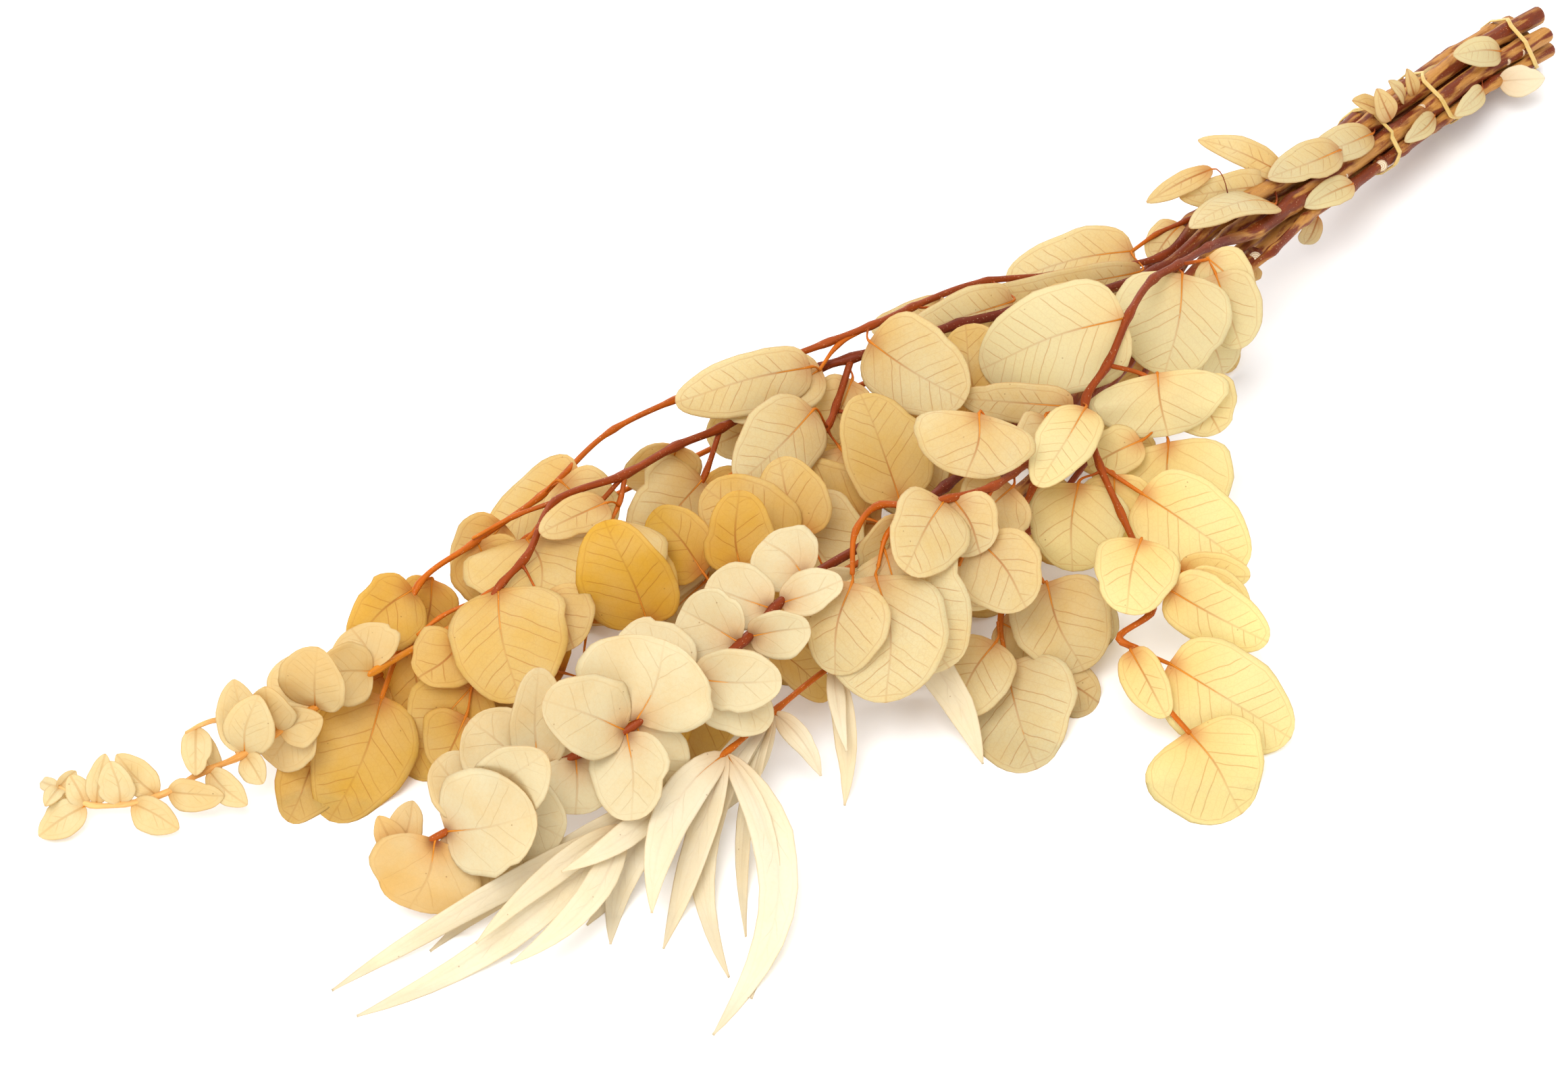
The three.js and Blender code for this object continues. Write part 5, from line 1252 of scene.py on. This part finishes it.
def squeezed_in(joints, i, count, dice):
    """An inner leaf for the i-th place, the farthest from the viewer of those that are clear, and what
    makes it unlike the others; or None if there is no room. The outer half of its stalk is clear too."""
    s, t = crossed(np.linspace(0, 1, 13), np.linspace(-1, 1, 9))
    outer_half = np.linspace(0.5, 1, 5)[:, None]
    for attempt in range(HIDDEN_TRIES, 4 * HIDDEN_TRIES):
        ways = leaf_ways(joints, hidden_row(joints, i, count, attempt), "plain", False)
        stalks = ways["start"][:, None] + (ways["base"] - ways["start"])[:, None] * outer_half
        clear = free(blade_surface(ways, s, t)[0]) & free(stalks)
        clear &= depth_of(ways["tip"]) > depth_of(ways["start"]) + BACK_BY
        if clear.any():
            leaf = one_of(ways, np.argmax(clear * depth_of(ways["tip"])))
            return leaf, whims(dice, INNER_WAVE * leaf["width"][0], painted_shade_and_tone(leaf, dice, *INNER_SHADE_GILT))
    return None


def dress_hidden(name, ending, leaves, shells, dice, stalk, rib):
    """Two pieces of a hidden stem: blades, and stalks with the other shells of bark. Gives them back."""
    blades = joined_mesh(name + ending[0], [blade_shell(*each) for each in leaves], dollar_finish)
    stalks = [stalk_shell(*each, stalk, rib, dice) for each in leaves]
    twigs = joined_mesh(name + ending[1], [*shells, *stalks], bark_finish)
    dress(blades, "leaf", name)
    dress(twigs, "bark", name)
    return blades, twigs


def grow_hidden(name, seed, wood, count):
    """A hidden stem with the leaves that its solid has."""
    dice = np.random.default_rng(seed)
    (rod,), joints = lay_out_wood(name, 1.3, 0.85, wood, ())
    corners = stem_corners(name)
    shell = rod_shell(*rod, dice, sawn=True)
    grown = []
    for i in range(count):
        rows = (hidden_row(joints, i, count, attempt) for attempt in range(HIDDEN_TRIES))
        leaves = (as_built(leaf_ways(joints, row, "plain", False), "plain", corners) for row in rows)
        leaf = next((leaf for leaf in leaves if leaf is not None), None)
        if leaf is not None:
            grown.append((leaf, whims(dice, leaf["width"][0], painted_shade_and_tone(leaf, dice, *HIDDEN_SHADE_GILT))))
    for piece in dress_hidden(name, ("_leaves", "_twigs"), grown, [shell], dice, STALK, RIB):
        take_room_of(piece)
    return joints, dice


def fill_in(name, joints, dice, count):
    """The inner leaves of a hidden stem, each marked as soon as it has its place."""
    inner = []
    for i in range(count):
        found = squeezed_in(joints, i, count, dice)
        if found:
            inner.append(found)
            take_room(blade_shell(*found)["points"])
    dress_hidden(name, ("_inner_leaves", "_inner_stalks"), inner, [], dice, INNER_STALK, INNER_RIB)


for piece in list(bpy.context.scene.objects):
    if piece.type == "MESH" and piece.name.endswith(("_leaves", "_twigs", "_bark")):
        take_room_of(piece)

WOOD = [
    (1700, 500, 24), (1600, 600, 23), (1480, 700, 25), (1350, 790, 27), (1220, 860, 27),
    (1100, 920, 26), (980, 970, 23), (870, 1010, 19),
]
under = grow_hidden("leafy_stem_under", 19, WOOD, 22)

WOOD = [
    (1690, 405, 31), (1600, 440, 29), (1450, 500, 27), (1300, 560, 25), (1150, 620, 25),
    (1000, 690, 25), (860, 760, 22), (740, 840, 19),
]
back = grow_hidden("leafy_stem_back", 20, WOOD, 30)
fill_in("leafy_stem_under", *under, 44)
fill_in("leafy_stem_back", *back, 44)

# ------------------------------------------------------------------ knots
# Pale stumps on the woody stems of the bundle, where side branches were cut off close to the bark. Each is
# given by its place in the view and its radius.
KNOTS = [
    (2045, 245, 2.4), (1858, 382, 2.6), (2252, 78, 1.8),
    (2232, 92, 1.6), (1990, 262, 1.8), (2105, 160, 1.7),
]
KNOT_OUT = np.array((0.5, 0.45, 0.2, -0.6, -1.5))  # of each ring from the bark, over the knot's radius
KNOT_WIDE = np.array((0.5, 0.86, 1, 1.15, 1.4))  # the ring's radius over the knot's
KNOT_AGE, KNOT_SIDES = 0.1, 12
LINE_STEPS = 600  # in which a stem's line is searched
UNDER = 0.8  # a stem whose middle is nearer to the place in the view than this, over its radius, is under it
BARK = 0.9  # how far out from the middle the bark is met there, over the radius


def knot_shell(u, v, stout):
    """A short stump on the stem that is nearest to the viewer at a place in the view: it stands out of the
    bark by half its radius."""
    found = []
    for name in SEATS:
        line = seat_points(name)
        share, marks = np.linspace(0, 1, LINE_STEPS), np.linspace(0, 1, len(line))
        line = np.stack([np.interp(share, marks, column) for column in line.T], -1)
        off = np.hypot(*(pictured(line) - (u, v)).T)
        k = np.argmin(off)
        if off[k] < UNDER * SEATS[name][2] * FOCAL / DISTANCE:
            found.append((depth_of(line[k]), SEATS[name][2], line[k]))
    deep, radius, middle = min(found, key=lambda each: each[0])
    way = unit(at_depth((u, v), deep - BARK * radius) - middle)
    points = middle + way * (radius + KNOT_OUT * stout)[:, None]
    return tube(points, stout * KNOT_WIDE, KNOT_SIDES, KNOT_AGE, cut=2)


knots = joined_mesh("knots", [knot_shell(*each) for each in KNOTS], bark_finish)
dress(knots, "bark", "leafy_stem_right")

# ------------------------------------------------------------------ table, light and camera
# A white table top, white light from all round, a large soft lamp from the upper left, and a weaker one
# from behind. The camera sees what every stem and leaf was read from.
HALF_TABLE = 6  # metres, as all in this section
table_mesh = bpy.data.meshes.new("table_top")
corners = [(x * HALF_TABLE, y * HALF_TABLE, 0) for x, y in ((-1, -1), (1, -1), (1, 1), (-1, 1))]
table_mesh.from_pydata(corners, [], [(0, 1, 2, 3)])
white = Finish("white_table")
table_mesh.materials.append(white.surface(white.skin(Base_Color=(0.95, 0.95, 0.95, 1), Roughness=0.9)))
laid_in("table_top", table_mesh)

world = bpy.data.worlds.new("studio")
world.use_nodes = True
sky = world.node_tree.nodes["Background"].inputs
sky["Color"].default_value = (1, 0.995, 0.985, 1)
sky["Strength"].default_value = 1.2
bpy.context.scene.world = world


def aim(thing, place, way):
    thing.location = place
    thing.rotation_euler = Vector(way).to_track_quat("-Z", "Y").to_euler()


def soft_lamp(name, place, target, size, watts):
    lamp = bpy.data.lights.new(name, "AREA")
    lamp.shape, lamp.size, lamp.energy = "DISK", size, watts
    aim(laid_in(name, lamp), place, Vector(target) - Vector(place))


soft_lamp("key_lamp", (-0.9, -0.5, 1.5), (-0.05, 0, 0), 0.9, 22)
soft_lamp("back_lamp", (0.6, 1.2, 1.0), (0, 0, 0), 0.8, 9)

camera = bpy.data.cameras.new("camera")
camera.lens, camera.sensor_width = LENS, SENSOR
camera.clip_end = 50
eye = laid_in("camera", camera)
aim(eye, (EYE + SHIFT) * MM, -BACK)
bpy.context.scene.camera = eye
bpy.context.scene.view_settings.view_transform = "Standard"
